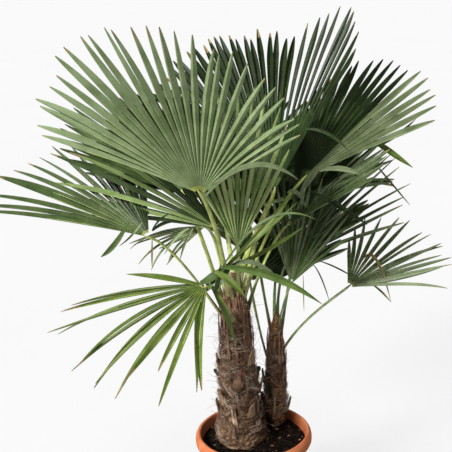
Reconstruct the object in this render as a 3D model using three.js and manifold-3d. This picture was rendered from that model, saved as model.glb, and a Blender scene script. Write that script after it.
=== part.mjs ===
// Windmill palm in a terracotta pot: a tall stem and a short one, each with a
// crown of fan fronds on long stalks. Millimetres, +Z up, origin at the centre
// of the pot's flat underside, -Y towards the viewer.

import * as THREE from 'three';
import { mergeVertices } from 'three/addons/utils/BufferGeometryUtils.js';
import Module from 'manifold-3d';

const wasm = await Module();
wasm.setup();

// Driving dimensions

const CLEARANCE = 0.3;
const GOLDEN_ANGLE = 137.5;

const POT = {
  height: 260,
  footRadius: 96,
  neckRadius: 136,
  collarRadius: 150,
  mouthRadius: 137,
  collarHeight: 38,
  wall: 9,
  floor: 14,
  drainRadius: 7,
  drainCircle: 45,
  drains: 3,
  segments: 48,
};
const SOIL_LEVEL = 235;

// Each stem: its foot on the soil, how far it leans by its top, and its radius
// at heights above the soil. Leaf-base stubs climb it in a spiral.
const STEMS = {
  tall: {
    foot: [-31, -3],
    lean: [-4, -3],
    profile: [
      [0, 68], [20, 66], [48, 58], [80, 52], [120, 51], [175, 51], [205, 47],
      [240, 41], [300, 37], [350, 33], [390, 26], [430, 15], [455, 6],
    ],
    stubs: { count: 14, from: 25, step: 17, start: 256, length: 42, width: 24, depth: 15, out: 5 },
    stalk: { footWidth: 25, footDepth: 10, width: 11, depth: 7.5, hubWidth: 8, hubDepth: 6.5 },
  },
  short: {
    foot: [60, 75],
    lean: [12, 0],
    profile: [
      [0, 29], [25, 33], [60, 34], [110, 31], [160, 26], [200, 22], [240, 18],
      [280, 13], [310, 5],
    ],
    stubs: { count: 9, from: 30, step: 19, start: 210, length: 30, width: 16, depth: 10, out: 4 },
    stalk: { footWidth: 15, footDepth: 7, width: 8, depth: 5.5, hubWidth: 6, hubDepth: 5 },
  },
};
const STEM_SIDES = 18;
const STEM_RIPPLE = 0.045;

// How a frond is built. Angles are in degrees. A stalk leaves its stem at
// footHeight towards footAz, rising at lean, and ends along the fan's middle,
// over a share arrive of its length, at the hub, which lies reach from the
// stem's axis towards hubAz at hubHeight. The fan's middle points towards az at
// elevation el, is rolled about its middle, and turned in its own plane.
// Leaflets stand from low to high about the middle, are folded up out of the
// plane by cup (fold on the low side), sag by droop, and shorten to lowSide and
// highSide of the radius at the edges.
const FROND_DEFAULTS = {
  footHeight: 600,
  lean: 80,
  arrive: 0.2,
  roll: 0,
  turn: 0,
  low: -75,
  high: 75,
  cup: 5,
  fold: null,
  droop: 0.1,
  lowSide: 0.85,
  highSide: 0.85,
  split: 0.42,
};

// The fronds of each crown, from the viewer's side round to the far side. No
// side of the crown is left bare.
const TALL_FRONDS = [
  { footAz: 246, hubAz: 247, reach: 163, hubHeight: 929, footHeight: 610, lean: 75,
    az: 232, el: 66, roll: 17, turn: -17, radius: 442, low: -43, high: 80, cup: -7, droop: 0.07,
    lowSide: 0.85, highSide: 0.72, count: 15 },
  { footAz: 184, hubAz: 178, reach: 199, hubHeight: 790, footHeight: 560, lean: 60,
    az: 186, el: 15, roll: -15, turn: 10, radius: 430, low: -90, high: -8, cup: 29, lowSide: 0.5,
    count: 11 },
  { footAz: 160, hubAz: 150, reach: 39, hubHeight: 800, footHeight: 600, lean: 80,
    az: 254, el: 57, roll: -5, turn: -30, radius: 458, low: -53, high: 53, count: 12 },
  { footAz: 300, hubAz: 286, reach: 57, hubHeight: 767, footHeight: 620, lean: 85,
    az: 275, el: 78, radius: 420, low: -28, high: 28, cup: 0, count: 7 },
  { footAz: 255, hubAz: 253, reach: 204, hubHeight: 733, footHeight: 565, lean: 45,
    az: 260, el: -14, roll: 6, turn: 7, radius: 300, low: -104, high: 14, droop: 0.2,
    lowSide: 1.3, highSide: 0.9, split: 0.22, count: 13 },
  { footAz: 355, hubAz: 15, reach: 189, hubHeight: 906, footHeight: 590, lean: 78,
    az: 6, el: 38, roll: 40, turn: 2, radius: 391, low: -21, high: 52, cup: 0, highSide: 0.5, count: 10 },
  { footAz: 50, hubAz: 24, reach: 123, hubHeight: 878, footHeight: 620, lean: 85,
    az: 84, el: 48, roll: 16, turn: -6, radius: 521, low: -21, high: 56, cup: -8, fold: 257,
    lowSide: 0.78, highSide: 0.82, count: 12 },
  { footAz: 132, hubAz: 114, reach: 155, hubHeight: 772, footHeight: 585, lean: 75,
    az: 165, el: 0, roll: -10, radius: 215, low: -70, high: 70, droop: 0.4, count: 13 },
  { footAz: 22, hubAz: 26, reach: 148, hubHeight: 779, footHeight: 540, lean: 75,
    az: 8, el: 43, roll: 4, turn: -7, radius: 339, low: -29, high: 21, count: 6 },
  { footAz: 85, hubAz: 95, reach: 200, hubHeight: 815, footHeight: 600, lean: 75,
    az: 92, el: 38, radius: 430, low: -80, high: 80, cup: 15, count: 14 },
  { footAz: 140, hubAz: 128, reach: 190, hubHeight: 860, footHeight: 545, lean: 75,
    az: 122, el: 42, radius: 380, low: -80, high: 80, cup: 15, count: 14 },
  { footAz: 65, hubAz: 65, reach: 240, hubHeight: 800, footHeight: 545, lean: 65,
    az: 70, el: 15, radius: 390, low: -80, high: 80, cup: 15, count: 14 },
];

const SHORT_FRONDS = [
  { footAz: 328, hubAz: 328, reach: 49, hubHeight: 634, footHeight: 500, lean: 85,
    az: 9, el: 72, roll: 26, turn: -16, radius: 295, low: -25, high: 53, cup: 27, count: 9 },
  { footAz: 355, hubAz: 356, reach: 189, hubHeight: 613, footHeight: 430, lean: 65,
    az: 11, el: 18, roll: 32, turn: 18, radius: 269, low: -58, high: 45, cup: 35, lowSide: 1,
    highSide: 0.4, split: 0.3, count: 12 },
  { footAz: 60, hubAz: 30, reach: 36, hubHeight: 673, footHeight: 510, lean: 85,
    az: 15, el: 48, roll: 18, turn: -2, radius: 401, low: -42, high: 56, count: 11 },
  { footAz: 150, hubAz: 125, reach: 60, hubHeight: 670, footHeight: 480, lean: 80,
    az: 100, el: 70, radius: 300, low: -40, high: 50, count: 8 },
  { footAz: 180, hubAz: 120, reach: 110, hubHeight: 600, footHeight: 400, lean: 75,
    az: 95, el: 30, radius: 240, low: -60, high: 50, count: 10 },
  { footAz: 48, hubAz: 66, reach: 165, hubHeight: 640, footHeight: 450, lean: 70,
    az: 58, el: 38, radius: 280, low: -50, high: 60, cup: 15, count: 10 },
  { footAz: 90, hubAz: 85, reach: 170, hubHeight: 575, footHeight: 440, lean: 65,
    az: 82, el: 15, radius: 280, low: -60, high: 60, cup: 15, count: 10 },
];

// Leaflets of the fans
const HUB_RADIUS = 12;
const STALK_TIP = 0.5;
const THICKNESS_RATIO = 0.011;
const PLEAT = 0.35;
const FREE_WIDTH = 0.8;
const BELLY = 0.45;
const BENDS = [0, 7, -7, 14, -14, 22, -22];
const LENGTHS = [1, 0.8, 0.6];

// Small vector and mesh helpers

const radians = THREE.MathUtils.degToRad;
const vector = (x, y, z) => new THREE.Vector3(x, y, z);

function heading(azimuth, elevation) {
  const a = radians(azimuth);
  const e = radians(elevation);
  return vector(Math.cos(a) * Math.cos(e), Math.sin(a) * Math.cos(e), Math.sin(e));
}

function weighted(...terms) {
  const sum = vector(0, 0, 0);
  for (const [weight, v] of terms) sum.addScaledVector(v, weight);
  return sum;
}

function meshGeometry(points, faces) {
  const geometry = new THREE.BufferGeometry();
  const flat = points.flatMap((p) => [p.x, p.y, p.z]);
  geometry.setAttribute('position', new THREE.Float32BufferAttribute(flat, 3));
  geometry.setIndex(faces.flat());
  return geometry;
}

// Joins rings of equal length into a closed skin with a flat fan at each end.
function loft(rings) {
  const n = rings[0].length;
  const points = rings.flat();
  const faces = [];
  for (let r = 0; r + 1 < rings.length; r += 1) {
    for (let i = 0; i < n; i += 1) {
      const a = r * n + i;
      const b = r * n + ((i + 1) % n);
      faces.push([a, b, b + n], [a, b + n, a + n]);
    }
  }
  const last = (rings.length - 1) * n;
  for (let i = 1; i + 1 < n; i += 1) {
    faces.push([0, i + 1, i], [last, last + i, last + i + 1]);
  }
  return meshGeometry(points, faces);
}

function toSolid(geometry) {
  const bare = geometry.clone();
  bare.deleteAttribute('normal');
  bare.deleteAttribute('uv');
  const merged = mergeVertices(bare);
  return new wasm.Manifold(new wasm.Mesh({
    numProp: 3,
    vertProperties: new Float32Array(merged.attributes.position.array),
    triVerts: new Uint32Array(merged.index.array),
  }));
}

function toGeometry(solid) {
  const mesh = solid.getMesh();
  const geometry = new THREE.BufferGeometry();
  geometry.setAttribute('position', new THREE.Float32BufferAttribute(mesh.vertProperties, 3));
  geometry.setIndex(new THREE.Uint32BufferAttribute(mesh.triVerts, 1));
  return geometry;
}

function lathe(profile, segments) {
  const geometry = new THREE.LatheGeometry(profile.map(([r, z]) => new THREE.Vector2(r, z)), segments);
  geometry.rotateX(Math.PI / 2);
  return geometry;
}

function largestPiece(solid) {
  return solid.decompose().reduce((best, piece) => (piece.volume() > best.volume() ? piece : best));
}

// Pot: a turned clay pot with a heavy half-round collar and drain holes

function potInnerRadius(z) {
  const neck = POT.height - POT.collarHeight;
  const share = (z - POT.floor) / (neck - POT.floor);
  return THREE.MathUtils.lerp(POT.footRadius - POT.wall, POT.neckRadius - POT.wall + 4, Math.min(share, 1));
}

function potGeometry() {
  const neck = POT.height - POT.collarHeight;
  const lip = POT.collarRadius;
  const profile = [
    [0, 0],
    [POT.footRadius - 3, 0],
    [POT.footRadius, 3],
    [POT.neckRadius, neck - 1],
    [lip - 7, neck + 2],
    [lip - 2, neck + 8],
    [lip, neck + 16],
    [lip - 1, neck + 26],
    [lip - 5, neck + 34],
    [lip - 9, POT.height],
    [POT.mouthRadius, POT.height - 2],
    [potInnerRadius(neck), neck - 4],
    [potInnerRadius(POT.floor), POT.floor],
    [0, POT.floor],
  ];
  let pot = toSolid(lathe(profile, POT.segments));
  for (let i = 0; i < POT.drains; i += 1) {
    const drill = new THREE.CylinderGeometry(POT.drainRadius, POT.drainRadius, 4 * POT.floor, 16);
    drill.rotateX(Math.PI / 2);
    const place = heading((360 / POT.drains) * i + 30, 0).multiplyScalar(POT.drainCircle);
    drill.translate(place.x, place.y, 0);
    pot = pot.subtract(toSolid(drill));
  }
  return toGeometry(pot);
}

function soilGeometry() {
  const bottom = POT.floor + CLEARANCE;
  const knee = POT.height - POT.collarHeight - 4;
  return lathe([
    [0, bottom],
    [potInnerRadius(POT.floor) - 2 * CLEARANCE, bottom],
    [potInnerRadius(knee) - 2 * CLEARANCE, knee],
    [potInnerRadius(knee) - 2 * CLEARANCE, SOIL_LEVEL],
    [0, SOIL_LEVEL],
  ], POT.segments);
}

// Stems: a tapering, leaning trunk with a root flare and leaf-base stubs

function stemTop(stem) {
  return stem.profile[stem.profile.length - 1][0];
}

function stemAxis(stem, z) {
  const share = (z - SOIL_LEVEL) / stemTop(stem);
  return vector(stem.foot[0] + stem.lean[0] * share, stem.foot[1] + stem.lean[1] * share, z);
}

function stemRadius(stem, height) {
  const next = stem.profile.findIndex(([z]) => z >= height);
  if (next < 0) return stem.profile[stem.profile.length - 1][1];
  if (next === 0) return stem.profile[0][1];
  const [z0, r0] = stem.profile[next - 1];
  const [z1, r1] = stem.profile[next];
  return THREE.MathUtils.mapLinear(height, z0, z1, r0, r1);
}

function stemSolid(stem, grow) {
  const rings = stem.profile.map(([height, radius], level) => {
    const ring = [];
    for (let i = 0; i < STEM_SIDES; i += 1) {
      const turn = (2 * Math.PI * i) / STEM_SIDES;
      const ripple = 1 + STEM_RIPPLE * Math.sin(3 * turn + 1.7 * level);
      const centre = stemAxis(stem, SOIL_LEVEL + CLEARANCE + height);
      const r = radius * ripple + grow;
      ring.push(vector(centre.x + r * Math.cos(turn), centre.y + r * Math.sin(turn), centre.z));
    }
    return ring;
  });
  return toSolid(loft(rings));
}

// A stub is the cut foot of an old stalk: it leans out of the fibre as it rises.
function stubSolid(stem, index) {
  const { from, step, start, length, width, depth, out } = stem.stubs;
  const azimuth = start + index * GOLDEN_ANGLE;
  const base = SOIL_LEVEL + from + index * step;
  const outward = heading(azimuth, 0);
  const side = heading(azimuth + 90, 0);
  const rings = [0, 0.6, 1].map((t) => {
    const z = base + length * t;
    const face = stemRadius(stem, z - SOIL_LEVEL) + out * (0.3 + 0.7 * t);
    const half = (width / 2) * (1 - 0.45 * t);
    const centre = stemAxis(stem, z);
    const corner = (r, w) => weighted([1, centre], [r, outward], [w, side]);
    const back = face - depth;
    return [corner(face, 0.4 * half), corner(face - 3, half), corner(back, half),
      corner(back, -half), corner(face - 3, -half), corner(face, -0.4 * half)];
  });
  return toSolid(loft(rings.map((ring) => ring.reverse())));
}

function stemGeometry(stem) {
  let solid = stemSolid(stem, 0);
  for (let i = 0; i < stem.stubs.count; i += 1) solid = solid.add(stubSolid(stem, i));
  return toGeometry(largestPiece(solid));
}

// Fronds: the fan's own axes, its leaflets and its stalk

function fanFrame(stem, frond) {
  const axis = stemAxis(stem, frond.footHeight);
  const hub = weighted([1, axis], [frond.reach, heading(frond.hubAz, 0)]);
  hub.z = frond.hubHeight;
  const middle = heading(frond.az, frond.el);
  const side = heading(frond.az + 90, 0);
  const face = middle.clone().cross(side);
  side.applyAxisAngle(middle, radians(frond.roll));
  face.applyAxisAngle(middle, radians(frond.roll));
  middle.applyAxisAngle(face, radians(frond.turn));
  side.applyAxisAngle(face, radians(frond.turn));
  return { hub, middle, side, face };
}

// Point on the fan at an angle from its middle and a distance from its hub.
// lift moves it off the pleated sheet along the sheet's own normal, and bend
// tips the free part of a leaflet out of the plane.
function fanPoint(frond, frame, angle, distance, lift, bend) {
  const fold = angle < 0 && frond.fold !== null ? frond.fold : frond.cup;
  const tilt = radians(fold * Math.min(Math.abs(angle) / 90, 1.2));
  const a = radians(angle);
  const flat = weighted([Math.cos(a), frame.middle], [Math.sin(a), frame.side]);
  const along = weighted([Math.cos(tilt), flat], [Math.sin(tilt), frame.face]);
  const normal = weighted([Math.cos(tilt), frame.face], [-Math.sin(tilt), flat]);
  const free = Math.max(0, distance - frond.split * frond.radius);
  const share = distance / frond.radius;
  const point = weighted(
    [1, frame.hub],
    [distance, along],
    [lift + free * Math.tan(radians(bend)), normal],
  );
  point.z -= (frond.droop * frond.radius * share ** 3) / 3;
  return point;
}

function leafletAngles(frond) {
  const pitch = (frond.high - frond.low) / frond.count;
  const angles = Array.from({ length: frond.count }, (_, i) => frond.low + pitch * (i + 0.5));
  return { pitch, angles };
}

function leafletLength(frond, angle) {
  const edge = angle < 0 ? frond.lowSide : frond.highSide;
  const limit = angle < 0 ? frond.low : frond.high;
  return frond.radius * (1 - (1 - edge) * (angle / limit) ** 2);
}

// Sections of one leaflet from the split to its tip, each of three points on
// the upper skin and three on the lower one. The last is the pointed tip.
function leafletSections(frond, frame, angle, pitch, bend, stretch) {
  const splitAt = frond.split * frond.radius;
  const tip = splitAt + (leafletLength(frond, angle) - splitAt) * stretch;
  const half = splitAt * Math.tan(radians(pitch / 2));
  const thick = (THICKNESS_RATIO * frond.radius) / 2;
  const section = (distance, width) => {
    const open = THREE.MathUtils.radToDeg(Math.atan(width / distance));
    const valley = -PLEAT * width;
    const skin = (lift) => [
      fanPoint(frond, frame, angle - open, distance, lift, bend),
      fanPoint(frond, frame, angle, distance, lift + valley, bend),
      fanPoint(frond, frame, angle + open, distance, lift, bend),
    ];
    return { upper: skin(thick), lower: skin(-thick) };
  };
  return {
    root: section(splitAt, half),
    belly: section(THREE.MathUtils.lerp(splitAt, tip, BELLY), half * FREE_WIDTH),
    tip: [
      fanPoint(frond, frame, angle, tip, thick, bend),
      fanPoint(frond, frame, angle, tip, -thick, bend),
    ],
  };
}

// One blade: a pleated sheet out to the split, and free leaflets beyond it.
// Neighbouring leaflets share the ridge between them as far as the split.
class BladeMesh {
  constructor() {
    this.points = [];
    this.faces = [];
    this.known = new Map();
  }

  vertex(point) {
    const key = [point.x, point.y, point.z].map((c) => c.toFixed(3)).join();
    if (!this.known.has(key)) {
      this.known.set(key, this.points.length);
      this.points.push(point);
    }
    return this.known.get(key);
  }

  triangle(a, b, c) {
    this.faces.push([this.vertex(a), this.vertex(b), this.vertex(c)]);
  }

  quad(a, b, c, d) {
    this.triangle(a, b, c);
    this.triangle(a, c, d);
  }

  // Upper and lower skins between two sections, inner one first.
  skins(inner, outer) {
    for (let i = 0; i < 2; i += 1) {
      this.quad(inner.upper[i], outer.upper[i], outer.upper[i + 1], inner.upper[i + 1]);
      this.quad(inner.lower[i + 1], outer.lower[i + 1], outer.lower[i], inner.lower[i]);
    }
  }

  lowEdge(inner, outer) {
    this.quad(inner.lower[0], outer.lower[0], outer.upper[0], inner.upper[0]);
  }

  highEdge(inner, outer) {
    this.quad(inner.upper[2], outer.upper[2], outer.lower[2], inner.lower[2]);
  }

  innerEnd(section) {
    for (let i = 0; i < 2; i += 1) {
      this.quad(section.lower[i], section.upper[i], section.upper[i + 1], section.lower[i + 1]);
    }
  }

  outerEnd(section) {
    for (let i = 0; i < 2; i += 1) {
      this.quad(section.upper[i], section.lower[i], section.lower[i + 1], section.upper[i + 1]);
    }
  }

  point(section, [top, bottom]) {
    for (let i = 0; i < 2; i += 1) {
      this.triangle(section.upper[i], top, section.upper[i + 1]);
      this.triangle(section.lower[i + 1], bottom, section.lower[i]);
    }
    this.quad(section.lower[0], bottom, top, section.upper[0]);
    this.quad(section.upper[2], top, bottom, section.lower[2]);
  }

  freePart({ root, belly, tip }) {
    this.skins(root, belly);
    this.lowEdge(root, belly);
    this.highEdge(root, belly);
    this.point(belly, tip);
  }

  geometry() {
    return meshGeometry(this.points, this.faces);
  }
}

function hubSection(frond, frame, angle, pitch) {
  const thick = (THICKNESS_RATIO * frond.radius) / 2;
  const valley = -PLEAT * HUB_RADIUS * Math.tan(radians(pitch / 2));
  const skin = (lift) => [
    fanPoint(frond, frame, angle - pitch / 2, HUB_RADIUS, lift, 0),
    fanPoint(frond, frame, angle, HUB_RADIUS, lift + valley, 0),
    fanPoint(frond, frame, angle + pitch / 2, HUB_RADIUS, lift, 0),
  ];
  return { upper: skin(thick), lower: skin(-thick) };
}

function bladeGeometry(frond, frame, pitch, angles, choices) {
  const mesh = new BladeMesh();
  angles.forEach((angle, i) => {
    const inner = hubSection(frond, frame, angle, pitch);
    const root = leafletSections(frond, frame, angle, pitch, 0, 1).root;
    mesh.skins(inner, root);
    mesh.innerEnd(inner);
    if (i === 0) mesh.lowEdge(inner, root);
    if (i === angles.length - 1) mesh.highEdge(inner, root);
    if (choices[i] === null) {
      mesh.outerEnd(root);
    } else {
      mesh.freePart(leafletSections(frond, frame, angle, pitch, choices[i].bend, choices[i].stretch));
    }
  });
  return mesh.geometry();
}

function sheetSolid(frond, frame, angle, pitch) {
  const mesh = new BladeMesh();
  const inner = hubSection(frond, frame, angle, pitch);
  const { root } = leafletSections(frond, frame, angle, pitch, 0, 1);
  mesh.skins(inner, root);
  mesh.innerEnd(inner);
  mesh.outerEnd(root);
  mesh.lowEdge(inner, root);
  mesh.highEdge(inner, root);
  return toSolid(mesh.geometry());
}

function leafletSolid(frond, frame, angle, pitch, bend, stretch) {
  const mesh = new BladeMesh();
  const leaflet = leafletSections(frond, frame, angle, pitch, bend, stretch);
  mesh.freePart(leaflet);
  mesh.innerEnd(leaflet.root);
  return toSolid(mesh.geometry());
}

// Stalk: a flattened limb that tapers along one bend from the stem to the hub.
function stalkSolid(stem, frond, frame) {
  const size = stem.stalk;
  const start = stemAxis(stem, frond.footHeight);
  const inset = 0.55 * stemRadius(stem, frond.footHeight - SOIL_LEVEL);
  start.addScaledVector(heading(frond.footAz, 0), inset);
  const reach = HUB_RADIUS - CLEARANCE - STALK_TIP;
  const end = weighted([1, frame.hub], [reach, frame.middle]);
  const span = start.distanceTo(end);
  const leave = weighted([1, start], [0.4 * span, heading(frond.footAz, frond.lean)]);
  const arrive = weighted([1, end], [-frond.arrive * span, frame.middle]);
  const path = new THREE.CubicBezierCurve3(start, leave, arrive, end);
  const footSide = heading(frond.footAz + 90, 0);
  const stops = [
    [0, size.footWidth, size.footDepth],
    [0.15, 0.8 * size.footWidth, size.footDepth],
    [0.35, size.width, size.depth],
    [0.65, size.width, size.depth],
    [0.93, size.hubWidth, size.hubDepth],
    [1, 0.55 * size.hubWidth, 0.6 * size.hubDepth],
  ];
  const rings = stops.map(([t, width, depth]) => {
    const centre = path.getPoint(t);
    const tangent = path.getTangent(t);
    const side = weighted([1 - t, footSide], [t, frame.side]);
    side.addScaledVector(tangent, -side.dot(tangent)).normalize();
    const face = tangent.clone().cross(side);
    return [[1, 0.2], [0.45, 1], [-0.45, 1], [-1, 0.2], [0, -1]].map(([u, v]) => weighted(
      [1, centre],
      [(u * width) / 2, side],
      [(-v * depth) / 2, face],
    ));
  });
  return toSolid(loft(rings.map((ring) => ring.reverse())));
}

// Assembly

const palm = new THREE.Group();
const placed = [];

function overlaps(solid, other) {
  const a = solid.boundingBox();
  const b = other.boundingBox();
  const apart = a.min.some((low, k) => low > b.max[k] || a.max[k] < b.min[k]);
  return !apart && !solid.intersect(other).isEmpty();
}

function isClear(solid) {
  return !placed.some((other) => overlaps(solid, other));
}

function addPart(name, geometry, color, roughness) {
  const material = new THREE.MeshStandardMaterial({ color, roughness, metalness: 0 });
  const mesh = new THREE.Mesh(geometry, material);
  mesh.name = name;
  palm.add(mesh);
}

addPart('pot', potGeometry(), 0xc8714b, 0.85);
addPart('soil', soilGeometry(), 0x2a211c, 0.95);

const PALMS = [
  { name: 'tall', stem: STEMS.tall, fronds: TALL_FRONDS, leaf: 0x5f7d4c },
  { name: 'short', stem: STEMS.short, fronds: SHORT_FRONDS, leaf: 0x4c6b3c },
];

const jobs = [];
for (const { name, stem, fronds, leaf } of PALMS) {
  const geometry = stemGeometry(stem);
  addPart(`${name}_stem`, geometry, 0x6f5a48, 0.95);
  placed.push(toSolid(geometry));
  const sleeve = stemSolid(stem, CLEARANCE);
  fronds.forEach((given, i) => {
    const frond = { ...FROND_DEFAULTS, ...given };
    const frame = fanFrame(stem, frond);
    const number = String(i + 1).padStart(2, '0');
    const stalk = largestPiece(stalkSolid(stem, frond, frame).subtract(sleeve));
    placed.push(stalk);
    addPart(`${name}_stalk_${number}`, toGeometry(stalk), 0x7f8f4a, 0.7);
    jobs.push({ name: `${name}_fan_${number}`, frond, frame, leaf });
  });
}

// A crowded fan spreads from its middle until its sheet would touch what is
// already there. A leaflet that would touch it is bent out of the way, or
// shortened, or ends at the split where neither clears it.
function clearAngles(frond, frame) {
  const { pitch, angles } = leafletAngles(frond);
  const blocked = angles.map((angle) => !isClear(sheetSolid(frond, frame, angle, pitch)));
  const middle = Math.floor(angles.length / 2);
  const first = blocked.lastIndexOf(true, middle) + 1;
  const next = blocked.indexOf(true, middle);
  return { pitch, angles: angles.slice(first, next < 0 ? angles.length : next) };
}

function leafletChoice(frond, frame, angle, pitch) {
  for (const stretch of LENGTHS) {
    for (const bend of BENDS) {
      if (isClear(leafletSolid(frond, frame, angle, pitch, bend, stretch))) return { bend, stretch };
    }
  }
  return null;
}

for (const { name, frond, frame, leaf } of jobs) {
  const { pitch, angles } = clearAngles(frond, frame);
  const choices = angles.map((angle) => leafletChoice(frond, frame, angle, pitch));
  const geometry = bladeGeometry(frond, frame, pitch, angles, choices);
  placed.push(toSolid(geometry));
  addPart(name, geometry, leaf, 0.6);
}

export default palm;
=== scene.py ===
from math import cos, pi, radians, sin

import bpy
import numpy as np
from mathutils import Matrix, Vector


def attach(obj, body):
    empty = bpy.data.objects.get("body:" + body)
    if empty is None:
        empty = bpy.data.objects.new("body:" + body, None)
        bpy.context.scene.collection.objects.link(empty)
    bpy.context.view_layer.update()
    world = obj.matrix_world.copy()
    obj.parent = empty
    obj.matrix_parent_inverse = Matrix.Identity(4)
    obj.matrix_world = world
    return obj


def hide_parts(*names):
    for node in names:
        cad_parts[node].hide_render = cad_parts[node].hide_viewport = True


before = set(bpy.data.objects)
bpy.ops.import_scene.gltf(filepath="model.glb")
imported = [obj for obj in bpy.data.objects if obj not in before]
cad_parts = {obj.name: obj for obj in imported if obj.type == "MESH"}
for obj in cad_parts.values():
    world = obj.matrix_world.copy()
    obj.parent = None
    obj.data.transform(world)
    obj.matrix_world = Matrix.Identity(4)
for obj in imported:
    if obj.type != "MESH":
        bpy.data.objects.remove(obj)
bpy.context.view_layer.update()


# The pot. A turned terracotta flower pot with a thick rolled collar and three
# drain holes, fired and left unglazed: matt orange clay that drifts a little in
# tone. The compost fills it to 25 mm below its rim.

POT_HEIGHT, POT_FOOT, POT_NECK, POT_COLLAR = 0.260, 0.096, 0.136, 0.150
POT_FLOOR, POT_WALL, COLLAR_FOOT = 0.014, 0.009, 0.222
NECK_HOLLOW = 0.004
DRAIN_RADIUS, DRAIN_CIRCLE, DRAINS = 0.007, 0.045, 3
DRILL_SIDES, DRILL_FROM, DRILL_TO = 24, -0.02, 0.03
TURN_STEPS, PROFILE_STEPS = 160, 92
THROWN_WOBBLE, THROWN_LENGTH = 0.006, 0.09
TONE_SPAN = (0.36, 0.64)


def unit(vectors):
    """Vectors scaled to length 1, and a zero vector left at zero."""
    return vectors / (np.linalg.norm(vectors, axis=-1, keepdims=True) + 1e-12)


def waves(points, length, seed, count=7):
    """Smooth random relief between about -1 and 1: a sum of plane sine waves of
    nearly one length, each in its own random direction and phase."""
    draw = np.random.default_rng(seed)
    way = unit(draw.normal(size=(count, 3)))
    number = 2 * pi / (length * draw.uniform(0.7, 1.4, count))
    phase = draw.uniform(0, 2 * pi, count)
    turns = points @ (way * number[:, None]).T + phase
    return np.sin(turns).sum(-1) * (1.4 / count)


def closed_tube(rings, ends):
    """Points and faces of a tube: quads between its rings, and triangles from
    each of its two end points to the ring next to it."""
    here = np.arange(rings[..., 0].size).reshape(rings.shape[:2])
    ahead = np.roll(here, -1, 1)
    foot, head = (np.full(here.shape[1], here.size + k) for k in (0, 1))
    return np.concatenate([rings.reshape(-1, 3), ends]), [
        np.stack([here[:-1], ahead[:-1], ahead[1:], here[1:]], -1).reshape(-1, 4),
        np.stack([foot, ahead[0], here[0]], -1),
        np.stack([head, here[-1], ahead[-1]], -1)]


def build_piece(name, points, faces, looks, pick=None, map_uv=None, crease=None):
    """One mesh object from a point array and a list of face arrays, each with
    one number of corners. pick chooses a material for each face, map_uv gives
    each point its place in the piece's own map, and edges sharper than crease
    stay hard while all others are shaded round."""
    points = np.asarray(points, float).reshape(-1, 3)
    used, corners = np.unique(np.concatenate([f.ravel() for f in faces]), return_inverse=True)
    sizes = np.concatenate([np.full(len(f), f.shape[1]) for f in faces])
    starts = np.concatenate([[0], np.cumsum(sizes)[:-1]])
    mesh = bpy.data.meshes.new(name)
    mesh.vertices.add(len(used))
    mesh.vertices.foreach_set("co", points[used].ravel().astype(np.float32))
    mesh.loops.add(len(corners))
    mesh.loops.foreach_set("vertex_index", corners.astype(np.int32))
    mesh.polygons.add(len(sizes))
    mesh.polygons.foreach_set("loop_start", starts.astype(np.int32))
    mesh.polygons.foreach_set("use_smooth", np.ones(len(sizes), bool))
    for look in looks:
        mesh.materials.append(look)
    if pick is not None:
        mesh.polygons.foreach_set("material_index", np.asarray(pick, np.int32))
    if map_uv is not None:
        flat = np.asarray(map_uv, float).reshape(-1, 2)[used][corners]
        mesh.uv_layers.new(name="own_map").data.foreach_set("uv", flat.ravel())
    mesh.update(calc_edges=True)
    if crease is not None:
        mesh.set_sharp_from_angle(angle=radians(crease))
    piece = bpy.data.objects.new(name, mesh)
    bpy.context.scene.collection.objects.link(piece)
    return piece


def new_node(nodes, kind, **values):
    """A shader node of a kind, with its inputs set by their names."""
    node = nodes.new("ShaderNode" + kind)
    for name, value in values.items():
        node.inputs[name].default_value = value
    return node


def mottled_finish(name, tones, grain, rough, relief, relief_grain, stretch=(1, 1, 1), gloss=0.3):
    """A finish whose colour drifts between its tones in patches of about grain
    metres, with a bump of relief metres in grains of relief_grain metres.
    stretch above 1 squeezes both patterns along that axis."""
    look = bpy.data.materials.new(name)
    look.use_nodes = True
    nodes, links = look.node_tree.nodes, look.node_tree.links
    shader = nodes["Principled BSDF"]
    place = new_node(nodes, "TexCoord")
    stretched = new_node(nodes, "Mapping", Scale=stretch)
    patches = new_node(nodes, "TexNoise", Scale=1 / grain, Detail=5, Roughness=0.62)
    ramp = new_node(nodes, "ValToRGB")
    for k, (at, tone) in enumerate(zip(np.linspace(*TONE_SPAN, len(tones)), tones)):
        stop = ramp.color_ramp.elements[k] if k < 2 else ramp.color_ramp.elements.new(at)
        stop.position, stop.color = at, (*tone, 1)
    grains = new_node(nodes, "TexNoise", Scale=1 / relief_grain, Detail=4)
    grains.name = "relief_grains"
    bump = new_node(nodes, "Bump", Strength=1, Distance=relief)
    for source, output, target, socket in (
            (place, "Object", stretched, "Vector"), (stretched, "Vector", patches, "Vector"),
            (patches, "Fac", ramp, "Fac"), (ramp, "Color", shader, "Base Color"),
            (stretched, "Vector", grains, "Vector"), (grains, "Fac", bump, "Height"),
            (bump, "Normal", shader, "Normal")):
        links.new(source.outputs[output], target.inputs[socket])
    shader.inputs["Roughness"].default_value = rough
    shader.inputs["Specular IOR Level"].default_value = gloss
    return look


def pot_inside(z):
    """Inner radius: a straight taper from the floor to the foot of the collar."""
    share = np.clip((z - POT_FLOOR) / (COLLAR_FOOT - POT_FLOOR), 0, 1)
    low, high = POT_FOOT - POT_WALL, POT_NECK - POT_WALL + NECK_HOLLOW
    return low + (high - low) * share


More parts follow.
